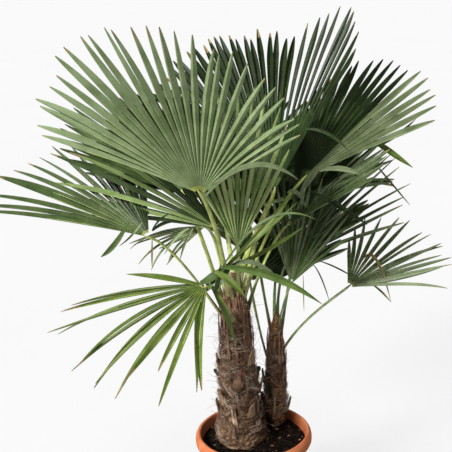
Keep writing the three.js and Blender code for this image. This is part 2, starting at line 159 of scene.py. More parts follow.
def smooth_profile(corners, steps, rounding=0.004, finer=8):
    """Points at even steps along a line of corners. The line is cut finer times
    as fine and averaged over the length rounding on both sides of each point,
    which rounds its corners off."""
    corners = np.array(corners, float)
    run = np.concatenate([[0], np.cumsum(np.linalg.norm(np.diff(corners, axis=0), axis=1))])
    fine = np.linspace(0, run[-1], steps * finer)
    line = np.stack([np.interp(fine, run, corners[:, k]) for k in range(2)], -1)
    reach = max(2, int(rounding / (run[-1] / len(fine))))
    padded = np.pad(line, ((reach, reach), (0, 0)), mode="edge")
    kernel = np.ones(2 * reach + 1) / (2 * reach + 1)
    soft = np.stack([np.convolve(padded[:, k], kernel, "valid") for k in range(2)], -1)
    return soft[::finer]


def turned(profile):
    """Each profile point carried round the axis, its radius swelling and
    shrinking a little with the thrower's hand."""
    turn = np.linspace(0, 2 * pi, TURN_STEPS, endpoint=False)
    r, z = (profile[:, None, k] * np.ones(TURN_STEPS) for k in range(2))
    grid = np.stack([r * np.cos(turn), r * np.sin(turn), z], -1)
    grid[..., :2] *= (1 - THROWN_WOBBLE * (1 + waves(grid, THROWN_LENGTH, 3)) / 2)[..., None]
    return grid


def drilled(piece, bores):
    """The piece with each bore, given as centre and radius, cut out of its floor
    by a cylinder that runs right through it."""
    ring = np.linspace(0, 2 * pi, DRILL_SIDES, endpoint=False)
    for x, y, radius in bores:
        circle = np.stack([x + radius * np.cos(ring), y + radius * np.sin(ring)], -1)
        rings = np.stack([np.c_[circle, np.full(DRILL_SIDES, z)] for z in (DRILL_FROM, DRILL_TO)])
        drill = build_piece("drill", *closed_tube(rings, [[x, y, DRILL_FROM], [x, y, DRILL_TO]]), [])
        cut = piece.modifiers.new("drain", "BOOLEAN")
        cut.operation, cut.object, cut.solver = "DIFFERENCE", drill, "EXACT"
        bpy.context.view_layer.update()
        made = piece.evaluated_get(bpy.context.evaluated_depsgraph_get())
        mesh = bpy.data.meshes.new_from_object(made)
        piece.modifiers.clear()
        piece.data = mesh
        bpy.data.objects.remove(drill)


clay = mottled_finish(
    "terracotta", [(0.34, 0.098, 0.038), (0.39, 0.120, 0.050), (0.44, 0.155, 0.075)],
    grain=0.05, rough=0.85, relief=0.0006, relief_grain=0.004, gloss=0.1)

outside = smooth_profile([
    (POT_FOOT - 0.006, 0), (POT_FOOT, 0.004), (POT_NECK, COLLAR_FOOT - 0.002),
    (POT_COLLAR - 0.006, COLLAR_FOOT + 0.001), (POT_COLLAR, COLLAR_FOOT + 0.011),
    (POT_COLLAR, COLLAR_FOOT + 0.026), (POT_COLLAR - 0.005, POT_HEIGHT - 0.003),
    (POT_COLLAR - 0.009, POT_HEIGHT), (POT_COLLAR - 0.013, POT_HEIGHT - 0.002),
    (float(pot_inside(COLLAR_FOOT)), COLLAR_FOOT - 0.004),
    (float(pot_inside(POT_FLOOR)) + 0.001, POT_FLOOR + 0.003)], PROFILE_STEPS)
outside[:, 1] = np.clip(outside[:, 1], 0, None)
points, faces = closed_tube(turned(outside), [[0, 0, 0], [0, 0, POT_FLOOR]])
pot = build_piece("pot_clay", points, faces, [clay], crease=50)
drain_turns = [2 * pi * k / DRAINS + pi / 6 for k in range(DRAINS)]
drilled(pot, [(DRAIN_CIRCLE * cos(t), DRAIN_CIRCLE * sin(t), DRAIN_RADIUS) for t in drain_turns])
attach(pot, "root")
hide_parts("pot")


# The compost. Dark, moist potting compost pressed in round the two stems, with
# a crumbly top and a few chips of bark lying on it.

SOIL_LEVEL = 0.235
SOIL_REACH = 0.1325
HUMPS = ((0.0022, 0.05, 11), (0.0010, 0.012, 12))
HEAPED, HEAP_BREADTH = 0.006, 0.012
SUNK, SUNK_FROM, SUNK_BREADTH = 0.004, 0.115, 0.018
BED_STEPS, BED_RINGS, BED_WALL_RINGS = 144, 63, 8
BED_GAP, BED_FLOOR = 0.0012, POT_FLOOR + 0.0005
CRUMBS, CRUMB_LEAST, CRUMB_SPREAD, CRUMB_ODDS = 3600, 0.0009, 0.0030, 0.45
CHIPS, CHIP_LEAST, CHIP_SPREAD, CHIP_ODDS, CHIP_LIFT = 46, 0.0012, 0.0040, 0.6, 0.0015
LUMP_STRAY, LUMP_LENGTH, LUMP_TILT = (0.65, 1.15), (0.8, 1.9), (-0.3, 0.3)
CLEAR_OF_WALL, STEM_SHARE = 0.004, 0.97
STEMS = {
    "tall": dict(
        foot=(-0.031, -0.003), lean=(-0.004, -0.003), seed=100, fibred=1.0,
        heights=[0, 0.020, 0.048, 0.080, 0.120, 0.175, 0.205, 0.240, 0.300, 0.350, 0.390, 0.430, 0.455],
        radii=[0.068, 0.066, 0.058, 0.052, 0.051, 0.051, 0.047, 0.041, 0.037, 0.033, 0.026, 0.015, 0.006]),
    "short": dict(
        foot=(0.060, 0.075), lean=(0.012, 0), seed=200, fibred=0.25,
        heights=[0, 0.025, 0.060, 0.110, 0.160, 0.200, 0.240, 0.280, 0.310],
        radii=[0.029, 0.033, 0.034, 0.031, 0.026, 0.022, 0.018, 0.013, 0.005]),
}


def soil_height(x, y):
    """The compost's top: nearly level, with low humps, heaped a little where it
    meets the stems and sunk a little along the pot's wall."""
    flat = np.stack([x, y, 0 * x], -1)
    top = SOIL_LEVEL + 0 * x
    for rise, length, seed in HUMPS:
        top = top + rise * waves(flat, length, seed)
    for stem in STEMS.values():
        away = np.hypot(x - stem["foot"][0], y - stem["foot"][1]) - stem["radii"][0]
        top = top + HEAPED * np.exp(-np.clip(away, 0, None) / HEAP_BREADTH)
    return top - SUNK * np.clip((np.hypot(x, y) - SUNK_FROM) / SUNK_BREADTH, 0, 1) ** 2


def lumps(centres, sizes, squash, seed):
    """Closed lumps, one at each centre: an icosahedron whose twelve corners are
    each pushed in or out at random, drawn out to one side, squashed in height,
    and turned and tilted at random."""
    draw = np.random.default_rng(seed)
    g = (1 + 5 ** 0.5) / 2
    corner = np.array([[-1, g, 0], [1, g, 0], [-1, -g, 0], [1, -g, 0], [0, -1, g], [0, 1, g],
                       [0, -1, -g], [0, 1, -g], [g, 0, -1], [g, 0, 1], [-g, 0, -1], [-g, 0, 1]])
    corner = unit(corner)
    face = np.array([[0, 11, 5], [0, 5, 1], [0, 1, 7], [0, 7, 10], [0, 10, 11], [1, 5, 9],
                     [5, 11, 4], [11, 10, 2], [10, 7, 6], [7, 1, 8], [3, 9, 4], [3, 4, 2],
                     [3, 2, 6], [3, 6, 8], [3, 8, 9], [4, 9, 5], [2, 4, 11], [6, 2, 10],
                     [8, 6, 7], [9, 8, 1]])
    n = len(centres)
    shape = corner * draw.uniform(*LUMP_STRAY, (n, 12, 1)) * sizes[:, None, None]
    shape[..., 0] *= draw.uniform(*LUMP_LENGTH, (n, 1))
    turn_by = draw.uniform(0, 2 * pi, (n, 1))
    x, y = shape[..., 0].copy(), shape[..., 1].copy()
    shape[..., 0] = x * np.cos(turn_by) - y * np.sin(turn_by)
    shape[..., 1] = x * np.sin(turn_by) + y * np.cos(turn_by)
    shape[..., 2] = shape[..., 2] * squash + shape[..., 0] * draw.uniform(*LUMP_TILT, (n, 1))
    points = shape + centres[:, None]
    return points.reshape(-1, 3), (face + 12 * np.arange(n)[:, None, None]).reshape(-1, 3)


def on_soil(count, seed):
    """Random places on the compost's top that lie outside both stems: the first
    ones that fit out of three times as many."""
    draw = np.random.default_rng(seed)
    spot = draw.uniform(-SOIL_REACH, SOIL_REACH, (count * 3, 2))
    keep = np.hypot(*spot.T) < SOIL_REACH - CLEAR_OF_WALL
    for stem in STEMS.values():
        keep &= np.hypot(*(spot - stem["foot"]).T) > stem["radii"][0] * STEM_SHARE
    spot = spot[keep][:count]
    return np.c_[spot, soil_height(*spot.T)]


compost = mottled_finish(
    "compost", [(0.0015, 0.001, 0.0006), (0.005, 0.003, 0.002), (0.014, 0.009, 0.006)],
    grain=0.010, rough=0.95, relief=0.0012, relief_grain=0.0022, gloss=0.03)
chip_bark = mottled_finish(
    "bark_chips", [(0.03, 0.016, 0.008), (0.10, 0.055, 0.030), (0.24, 0.150, 0.090)],
    grain=0.006, rough=0.85, relief=0.0003, relief_grain=0.002, gloss=0.15)

turn_soil = np.linspace(0, 2 * pi, BED_STEPS, endpoint=False)
top_r = SOIL_REACH * np.linspace(0, 1, BED_RINGS + 1)[1:]
wall_z = np.linspace(SOIL_LEVEL - 0.012, BED_FLOOR, BED_WALL_RINGS)
bed_r = np.concatenate([top_r, pot_inside(wall_z) - BED_GAP])[:, None]
x, y = bed_r * np.cos(turn_soil), bed_r * np.sin(turn_soil)
z = np.concatenate([soil_height(x[:BED_RINGS], y[:BED_RINGS]), wall_z[:, None] + 0 * turn_soil])
bed_ends = [[0, 0, float(soil_height(np.zeros(1), np.zeros(1))[0])], [0, 0, BED_FLOOR]]
points, faces = closed_tube(np.stack([x, y, z], -1), bed_ends)
bed = build_piece("compost_bed", points, [face[:, ::-1] for face in faces], [compost], crease=70)
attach(bed, "root")
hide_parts("soil")

crumb_at = on_soil(CRUMBS, 21)
crumb_draw = np.random.default_rng(22).power(CRUMB_ODDS, len(crumb_at))[::-1]
crumb_size = CRUMB_LEAST + CRUMB_SPREAD * crumb_draw ** 2
points, faces = lumps(crumb_at, crumb_size, 0.7, 23)
crumbs = build_piece("compost_crumbs", points, [faces], [compost], crease=40)
chip_at = on_soil(CHIPS, 31) + [0, 0, CHIP_LIFT]
chip_size = CHIP_LEAST + CHIP_SPREAD * np.random.default_rng(32).power(CHIP_ODDS, len(chip_at))
points, faces = lumps(chip_at, chip_size, 0.28, 33)
chips = build_piece("bark_chips", points, [faces], [chip_bark], crease=30)
for piece in (crumbs, chips):
    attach(piece, "root")


# The stems. Each is a palm trunk wrapped in the dry brown fibre of its old leaf
# sheaths, thick at the foot, straight in the middle and drawn in at the crown.
# The fibre mat is a relief worked over the trunk's own taper.

STEM_RIPPLE, RIPPLE_TWIST, STEM_BURIED = 0.045, 1.7, 0.010
SHEATH_PITCH, SHEATH_DEPTH, SHEATH_STRAY, SHEATH_GRAIN = 0.034, 0.0042, 1.2, 0.05
FELT_DEPTH, FELT_GRAIN, THREAD_DEPTH, THREAD_GRAIN = 0.0020, 0.016, 0.0008, 0.0055
FULL_RELIEF_AT, LEAST_RELIEF, MAT_SHARE = 0.045, 0.25, 0.99
TRUNK_STEPS, TRUNK_RINGS = 200, 250


def stem_axis(stem, z):
    """Points on the stem's axis at heights z: it leans evenly from its foot."""
    share = (np.asarray(z, float) - SOIL_LEVEL) / stem["heights"][-1]
    return np.stack([stem["foot"][0] + stem["lean"][0] * share,
                     stem["foot"][1] + stem["lean"][1] * share, np.asarray(z, float)], -1)


def stem_radius(stem, height):
    """Radius at a height above the compost, run straight between the measures."""
    return np.interp(height, stem["heights"], stem["radii"])


def stem_skin(stem, turn_by, height):
    """Radius of the fibre mat: the taper, a slow three-sided ripple, sloping
    rings left by the old leaf sheaths, and a fine tangle of felted fibre."""
    level = np.interp(height, stem["heights"], np.arange(len(stem["heights"])))
    plain = stem_radius(stem, height) * (1 + STEM_RIPPLE * np.sin(3 * turn_by + RIPPLE_TWIST * level))
    spot = np.stack([plain * np.cos(turn_by), plain * np.sin(turn_by), height], -1)
    stray = SHEATH_STRAY * waves(spot, SHEATH_GRAIN, stem["seed"] + 1)
    sheath = height * 2 * pi / SHEATH_PITCH + 2 * turn_by + stray
    ring = 0.5 + 0.5 * np.sin(sheath)
    felt = waves(spot * [1, 1, 2.2], FELT_GRAIN, stem["seed"] + 2, 9)
    fine = waves(spot * [1, 1, 1.6], THREAD_GRAIN, stem["seed"] + 3, 11)
    scale = np.clip(plain / FULL_RELIEF_AT, LEAST_RELIEF, 1)
    sunk = SHEATH_DEPTH * (1 - ring) + FELT_DEPTH * (1 - felt) + THREAD_DEPTH * (1 - fine)
    return plain * MAT_SHARE - scale * sunk


mat_look = dict(rough=0.95, relief=0.0016, relief_grain=0.0030, stretch=(1, 1, 2.6), gloss=0.1)
mat_finish = {
    "tall": mottled_finish(
        "fibre_mat", [(0.075, 0.040, 0.020), (0.155, 0.092, 0.052), (0.250, 0.165, 0.105)],
        grain=0.012, **mat_look),
    # The short stem's mat is lighter and redder than the tall one's: partly its own colour, partly painted
    # light against the shade the tall stem casts on it.
    "short": mottled_finish(
        "fibre_mat_short_with_painted_light", [(0.045, 0.022, 0.011), (0.270, 0.135, 0.066), (0.620, 0.380, 0.215)],
        grain=0.010, **mat_look)}

for name, stem in STEMS.items():
    turn_by = np.linspace(0, 2 * pi, TRUNK_STEPS, endpoint=False)
    height = np.linspace(-STEM_BURIED, stem["heights"][-1], TRUNK_RINGS)
    t, h = np.meshgrid(turn_by, height)
    r = stem_skin(stem, t, h)
    skin = stem_axis(stem, SOIL_LEVEL + h)
    skin[..., 0] += r * np.cos(t)
    skin[..., 1] += r * np.sin(t)
    points, faces = closed_tube(skin, stem_axis(stem, SOIL_LEVEL + height[[0, -1]]))
    trunk = build_piece(name + "_trunk", points, faces, [mat_finish[name]], crease=60)
    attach(trunk, "root")
    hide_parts(name + "_stem")


# The leaf bases. The foot of each old leaf that was cut off stands in a spiral
# up the stem as a short woody wedge, ragged and paler at the cut. Dry strips of
# sheath stand up round the crown among the living stalks.

SPIRAL, WORN_SHARE, BASE_SUNK, BASE_STRAY = 137.5, 0.3, 0.004, (0.95, 1.1)
BASES = {
    "tall": dict(count=14, low=0.022, step=0.017, start=110, rise=0.036, width=0.024, out=0.011),
    "short": dict(count=9, low=0.030, step=0.019, start=210, rise=0.030, width=0.016, out=0.008),
}
# A long base's row: azimuth, foot above the compost, rise, width and lift.
LONG_BASES = {
    "tall": dict(
        pale=[(254, 0.036, 0.076, 0.018, 0.012)],
        dark=[(190, 0.200, 0.030, 0.022, 0.010), (186, 0.166, 0.036, 0.028, 0.013),
              (350, 0.168, 0.034, 0.022, 0.010)],
        red=[(284, 0.190, 0.026, 0.014, 0.006)]),
    "short": dict(
        pale=[(262, 0.030, 0.060, 0.009, 0.009)],
        # The dark plates on the short stem's side towards the tall stem are painted shade between the two
        # stems; the tall stem's dark plates are its own dark stubs.
        dark=[(212, 0.022, 0.070, 0.026, 0.012), (190, 0.006, 0.060, 0.026, 0.014),
              (225, 0.090, 0.060, 0.022, 0.006), (240, 0.004, 0.040, 0.024, 0.010)],
        red=[(285, 0.125, 0.030, 0.010, 0.004)]),
}
SHEATHS = {
    "tall": dict(count=64, low=0.225, high=0.360, rise=(0.045, 0.110), width=(0.004, 0.012)),
    "short": dict(count=34, low=0.140, high=0.235, rise=(0.030, 0.080), width=(0.003, 0.008)),
}
PLATE_ROWS, PLATE_COLUMNS, PLATE_BELLY, PLATE_WAVE = 9, 9, 0.12, (0.0012, 0.03)


def closed_plates(front, back):
    """Closed plates from two stacks of point grids, front and back: a skin on
    each grid and a wall along each of the four edges."""
    count, rows, columns = front.shape[:3]
    index = np.arange(count * 2 * rows * columns).reshape(count, 2, rows, columns)
    f, b = index[:, 0], index[:, 1]
    quads = [
        (f[:, :-1, :-1], f[:, :-1, 1:], f[:, 1:, 1:], f[:, 1:, :-1]),
        (b[:, :-1, :-1], b[:, 1:, :-1], b[:, 1:, 1:], b[:, :-1, 1:]),
        (f[:, 0, 1:], f[:, 0, :-1], b[:, 0, :-1], b[:, 0, 1:]),
        (f[:, -1, :-1], f[:, -1, 1:], b[:, -1, 1:], b[:, -1, :-1]),
        (f[:, :-1, 0], f[:, 1:, 0], b[:, 1:, 0], b[:, :-1, 0]),
        (f[:, 1:, -1], f[:, :-1, -1], b[:, :-1, -1], b[:, 1:, -1])]
    faces = [np.stack(corners, -1).reshape(-1, 4) for corners in quads]
    return np.stack([front, back], 1).reshape(-1, 3), np.concatenate(faces)


def headings(azimuth):
    """Unit vectors outward and sideways at azimuths in degrees."""
    a = np.radians(azimuth)
    zero = np.zeros_like(a)
    return np.stack([np.cos(a), np.sin(a), zero], -1), np.stack([-np.sin(a), np.cos(a), zero], -1)


def wrapped_plates(stem, azimuth, foot, rise, width, lift, taper, thick, ragged, seed, sunk=0.3):
    """Plates that hug the stem: each is bent round the stem's radius, narrows by
    taper, moves out from a share sunk of its lift to the whole lift as it rises,
    and ends in a ragged top edge."""
    draw = np.random.default_rng(seed)
    across = np.linspace(-1, 1, PLATE_COLUMNS)
    up = np.linspace(0, 1, PLATE_ROWS)[:, None]
    top = 1 + ragged * draw.uniform(-1, 1, (len(azimuth), 1, PLATE_COLUMNS))
    high = foot[:, None, None] + rise[:, None, None] * up * (1 + (top - 1) * up ** 2)
    half = width[:, None, None] / 2 * (1 - taper * up) * np.ones_like(high)
    wave_at = np.stack([high * 3, high * 0 + across, high], -1)
    side_way = across * half + PLATE_WAVE[0] * waves(wave_at, PLATE_WAVE[1], seed)
    skin = stem_radius(stem, high) + lift[:, None, None] * (sunk + (1 - sunk) * up)
    bow = skin - np.sqrt(np.clip(skin ** 2 - side_way ** 2, 1e-8, None))
    outward, sideways = headings(azimuth[:, None, None])
    centre = stem_axis(stem, SOIL_LEVEL + high)
    front_r = skin - bow + PLATE_BELLY * half * (1 - across ** 2)
    front = centre + front_r[..., None] * outward + side_way[..., None] * sideways
    deep = thick * (1 - 0.5 * up) * (1 - 0.5 * across ** 2)
    back = front - (deep * np.ones_like(high))[..., None] * outward
    return closed_plates(front, back)


def base_finish(name, tones, relief=0.0008, relief_grain=0.0020, gloss=0.2):
    """Dry wood whose tones and relief run out along the base."""
    return mottled_finish(name, tones, 0.010, 0.8, relief, relief_grain, (2, 2, 0.5), gloss)


base_wood = base_finish(
    "leaf_base", [(0.050, 0.025, 0.014), (0.105, 0.060, 0.034), (0.180, 0.115, 0.070)])
base_worn = base_finish(
    "leaf_base_worn", [(0.095, 0.054, 0.030), (0.17, 0.108, 0.064), (0.25, 0.17, 0.11)], gloss=0.15)
stub_finish = {
    "pale": base_finish(
        "leaf_base_pale", [(0.18, 0.112, 0.066), (0.30, 0.205, 0.130), (0.40, 0.29, 0.20)],
        relief=0.0006, relief_grain=0.0018),
    # The dark finish serves both the tall stem's dark stubs and the painted shade on the short stem.
    "dark": base_finish(
        "leaf_base_dark_and_painted_shade", [(0.008, 0.006, 0.005), (0.022, 0.015, 0.010), (0.055, 0.036, 0.022)]),
    "red": base_finish(
        "leaf_base_red", [(0.050, 0.018, 0.010), (0.120, 0.045, 0.023), (0.21, 0.090, 0.048)])}
strip_look = dict(
    grain=0.008, rough=0.75, relief=0.0006, relief_grain=0.0012, stretch=(3, 3, 0.4), gloss=0.25)
sheath_brown = {
    "tall": mottled_finish(
        "sheath_strip", [(0.030, 0.012, 0.006), (0.105, 0.050, 0.026), (0.26, 0.155, 0.085)],
        **strip_look),
    # The short stem's strips are lighter in the same way: partly their own colour, partly painted light
    # against the shade of the tall stem.
    "short": mottled_finish(
        "sheath_strip_short_with_painted_light", [(0.070, 0.028, 0.014), (0.190, 0.090, 0.048), (0.34, 0.20, 0.12)],
        **strip_look)}

for name, stem in STEMS.items():
    seed = stem["seed"] + 10
    draw = np.random.default_rng(seed)
    rule = BASES[name]
    turn_by = rule["start"] + SPIRAL * np.arange(rule["count"])
    foot = rule["low"] + rule["step"] * np.arange(rule["count"]) - BASE_SUNK
    worn = draw.uniform(size=rule["count"]) < WORN_SHARE
    for kind, chosen, look in (("bases", ~worn, base_wood), ("pale_bases", worn, base_worn)):
        size = int(chosen.sum())
        points, faces = wrapped_plates(
            stem, turn_by[chosen], foot[chosen], rule["rise"] * draw.uniform(*BASE_STRAY, size),
            rule["width"] * draw.uniform(*BASE_STRAY, size), np.full(size, rule["out"] + 0.001),
            taper=0.42, thick=0.009, ragged=0.14, seed=seed + 1)
        bases = build_piece(f"{name}_{kind}", points, [faces], [look], crease=45)
        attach(bases, "root")
    for kind, rows in LONG_BASES[name].items():
        points, faces = wrapped_plates(
            stem, *np.array(rows).T, taper=0.45, thick=0.016, ragged=0.16, seed=seed + 5, sunk=-0.6)
        stubs = build_piece(f"{name}_{kind}_stubs", points, [faces], [stub_finish[kind]], crease=45)
        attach(stubs, "root")
    rule = SHEATHS[name]
    size = rule["count"]
    points, faces = wrapped_plates(
        stem, draw.uniform(0, 360, size), draw.uniform(rule["low"], rule["high"], size),
        draw.uniform(*rule["rise"], size), draw.uniform(*rule["width"], size),
        draw.uniform(0.001, 0.009, size), taper=0.60, thick=0.0012, ragged=0.30, seed=seed + 2)
    strips = build_piece(name + "_sheath_strips", points, [faces], [sheath_brown[name]], crease=45)
    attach(strips, "root")


# The loose fibre. Coarse threads of the sheaths' own netting wander over the
# mat in bundles, cross each other, stand off it in loops and curl free of it.

FIBRE_STEPS, THREAD_SIDES, FIBRE_REACH, THICK_STRAY = 14, 3, 0.72, (0.5, 1.1)
FIBRES = {
    "dark": dict(tones=[(0.030, 0.014, 0.008), (0.075, 0.040, 0.024)],
                 count=700, bundle=1, thick=0.0007, length=(0.04, 0.12), bulge=0.006),
    "brown": dict(tones=[(0.10, 0.054, 0.029), (0.25, 0.158, 0.096)],
                  count=900, bundle=6, thick=0.0006, length=(0.04, 0.13), bulge=0.009),
    "straw": dict(tones=[(0.24, 0.165, 0.115), (0.44, 0.34, 0.26)],
                  count=800, bundle=10, thick=0.0005, length=(0.04, 0.14), bulge=0.014),
}
HAIRS = {
    "tall": dict(count=420, low=0.05, high=0.36, length=(0.015, 0.060)),
    "short": dict(count=110, low=0.03, high=0.24, length=(0.010, 0.035)),
}
HAIR_THICK, HAIR_SUNK = 0.00035, 0.002
OFF_LEAST, OFF_SPREAD, LOOP_ODDS = 0.0006, 0.0022, 0.35
BUNDLE_SPREAD = dict(run=0.008, slope=0.06, swing=0.0005, swings=0.05, phase=0.2, side=0,
                     height=0.0022, turn=0.05)
SLOPE, SLOPE_STRAY, SWING, SWINGS = 12, 38, (0.001, 0.008), (0.5, 2.0)
CLIMB, CLIMB_CHANGE, VEER, VEER_CHANGE = (5, 80), 90, 30, 80


def threads(paths, radius, outward):
    """Closed three-sided tubes along paths, thinning to both ends. Their sides
    are set out from the path's tangent and the outward direction."""
    count, steps = paths.shape[:2]
    along = unit(np.gradient(paths, axis=1))
    across = unit(np.cross(along, outward))
    rise = np.cross(across, along)
    thin = radius[:, None] * (0.25 + 0.75 * np.sin(pi * np.linspace(0, 1, steps)) ** 0.5)
    turn_by = 2 * pi * np.arange(THREAD_SIDES) / THREAD_SIDES
    ring = (np.cos(turn_by)[:, None] * across[:, :, None]
            + np.sin(turn_by)[:, None] * rise[:, :, None])
    points = paths[:, :, None] + ring * thin[:, :, None, None]
    index = np.arange(count * steps * THREAD_SIDES).reshape(count, steps, THREAD_SIDES)
    ahead = np.roll(index, -1, 2)
    sides = np.stack([index[:, :-1], ahead[:, :-1], ahead[:, 1:], index[:, 1:]], -1).reshape(-1, 4)
    return points.reshape(-1, 3), [sides, index[:, 0, ::-1], index[:, -1]]


def wandering(stem, seed, count, bundle, length, bulge):
    """Paths over the stem's skin: each runs off at its own slope, waves from
    side to side, and stands off the skin most at its middle. The paths of one
    bundle share all this, and lie a few millimetres apart."""
    draw = np.random.default_rng(seed)
    groups = count // bundle
    high = stem["heights"][-1] * FIBRE_REACH

    def shared(kind, values):
        """One value for each path: its bundle's, moved by a small draw of its own."""
        return np.repeat(values, bundle, 0) + draw.normal(0, BUNDLE_SPREAD[kind], (groups * bundle, 1))

    def evenly(low, high):
        """One even draw for each bundle."""
        return draw.uniform(low, high, (groups, 1))

    share = np.linspace(0, 1, FIBRE_STEPS)
    run = shared("run", evenly(*length)) * share
    slope = shared("slope", np.radians(draw.normal(0, SLOPE_STRAY, (groups, 1)) + SLOPE))
    swing = shared("swing", evenly(*SWING)) * np.sin(
        2 * pi * shared("swings", evenly(*SWINGS)) * share + shared("phase", evenly(0, 2 * pi)))
    sign = shared("side", draw.choice([-1.0, 1.0], (groups, 1)))
    height = shared("height", evenly(0.0, high)) + run * np.sin(slope) + swing * np.cos(slope)
    height = np.clip(height, 0.001, stem["heights"][-1] - 0.005)
    girth = np.maximum(stem_radius(stem, height), 0.008)
    aside = sign * (run * np.cos(slope) - swing * np.sin(slope)) / girth
    turn_by = shared("turn", evenly(0, 2 * pi)) + aside
    off = OFF_LEAST + draw.uniform(0, OFF_SPREAD, (groups * bundle, 1))
    off = off + bulge * draw.power(LOOP_ODDS, (groups * bundle, 1)) * np.sin(pi * share) ** 2
    radius = stem_skin(stem, turn_by, height) + off
    outward, _ = headings(np.degrees(turn_by))
    return stem_axis(stem, SOIL_LEVEL + height) + radius[..., None] * outward, outward


def flaring(stem, seed, count, low, high, length):
    """Paths of free hairs that leave the stem's skin and curl out and upward:
    each climbs and veers by angles that change steadily along its run."""
    draw = np.random.default_rng(seed)
    share = np.linspace(0, 1, FIBRE_STEPS)
    height = draw.uniform(low, high, (count, 1))
    turn_by = draw.uniform(0, 2 * pi, (count, 1))
    radius = stem_skin(stem, turn_by, height) - HAIR_SUNK
    outward, sideways = headings(np.degrees(turn_by))
    start = stem_axis(stem, SOIL_LEVEL + height) + radius[..., None] * outward
    step = draw.uniform(*length, (count, 1)) / FIBRE_STEPS
    climb = np.radians(
        draw.uniform(*CLIMB, (count, 1)) + draw.normal(0, CLIMB_CHANGE, (count, 1)) * share)
    veer = np.radians(
        draw.normal(0, VEER, (count, 1)) + draw.normal(0, VEER_CHANGE, (count, 1)) * share)
    way = ((np.cos(climb) * np.cos(veer))[..., None] * outward
           + (np.cos(climb) * np.sin(veer))[..., None] * sideways)
    way[..., 2] += np.sin(climb)
    path = start + np.cumsum(way * step[..., None], 1)
    return path, np.broadcast_to(sideways, path.shape)


fibre_finish = {
    kind: mottled_finish("fibre_" + kind, rule["tones"], grain=0.01, rough=0.85, relief=0.0002,
                         relief_grain=0.001, gloss=0.2)
    for kind, rule in FIBRES.items()}
for name, stem in STEMS.items():
    for k, (kind, rule) in enumerate(FIBRES.items()):
        paths, outward = wandering(
            stem, stem["seed"] + 20 + k, int(rule["count"] * stem["fibred"]), rule["bundle"],
            rule["length"], rule["bulge"] * stem["fibred"] ** 0.5)
        spread = np.random.default_rng(stem["seed"] + 30 + k).uniform(*THICK_STRAY, len(paths))
        points, faces = threads(paths, rule["thick"] * spread, outward)
        fibre = build_piece(f"{name}_fibre_{kind}", points, faces, [fibre_finish[kind]])
        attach(fibre, "root")
for name, stem in STEMS.items():
    paths, outward = flaring(stem, stem["seed"] + 40, **HAIRS[name])
    points, faces = threads(paths, np.full(len(paths), HAIR_THICK), outward)
    hairs = build_piece(name + "_hairs", points, faces, [fibre_finish["brown"]])
    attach(hairs, "root")


# The stalks. Each leaf has one long stalk, flat above and round below, finely
# toothed along both edges. It leaves the stem from a broad foot, bends once,
# and ends under its blade in a pointed tongue that the pleats run out from.

HUB_RADIUS, HUB_GAP = 0.012, 0.0008
STALK_STEPS, STALK_SIDES, STALK_BURIED, STALK_LEAVES = 64, 14, 0.55, 0.4
SQUARED, TOP_SHARE, TOOTH, TOOTH_FROM = 0.8, 0.55, 0.07, 0.95
STALK_STOPS = [0, 0.15, 0.35, 0.65, 0.93, 1]
STALKS = {
    "tall": dict(foot=(0.025, 0.010), middle=(0.011, 0.0075), hub=(0.008, 0.0065)),
    "short": dict(foot=(0.015, 0.007), middle=(0.008, 0.0055), hub=(0.006, 0.005)),
}
FOOT_SHARE = 0.20
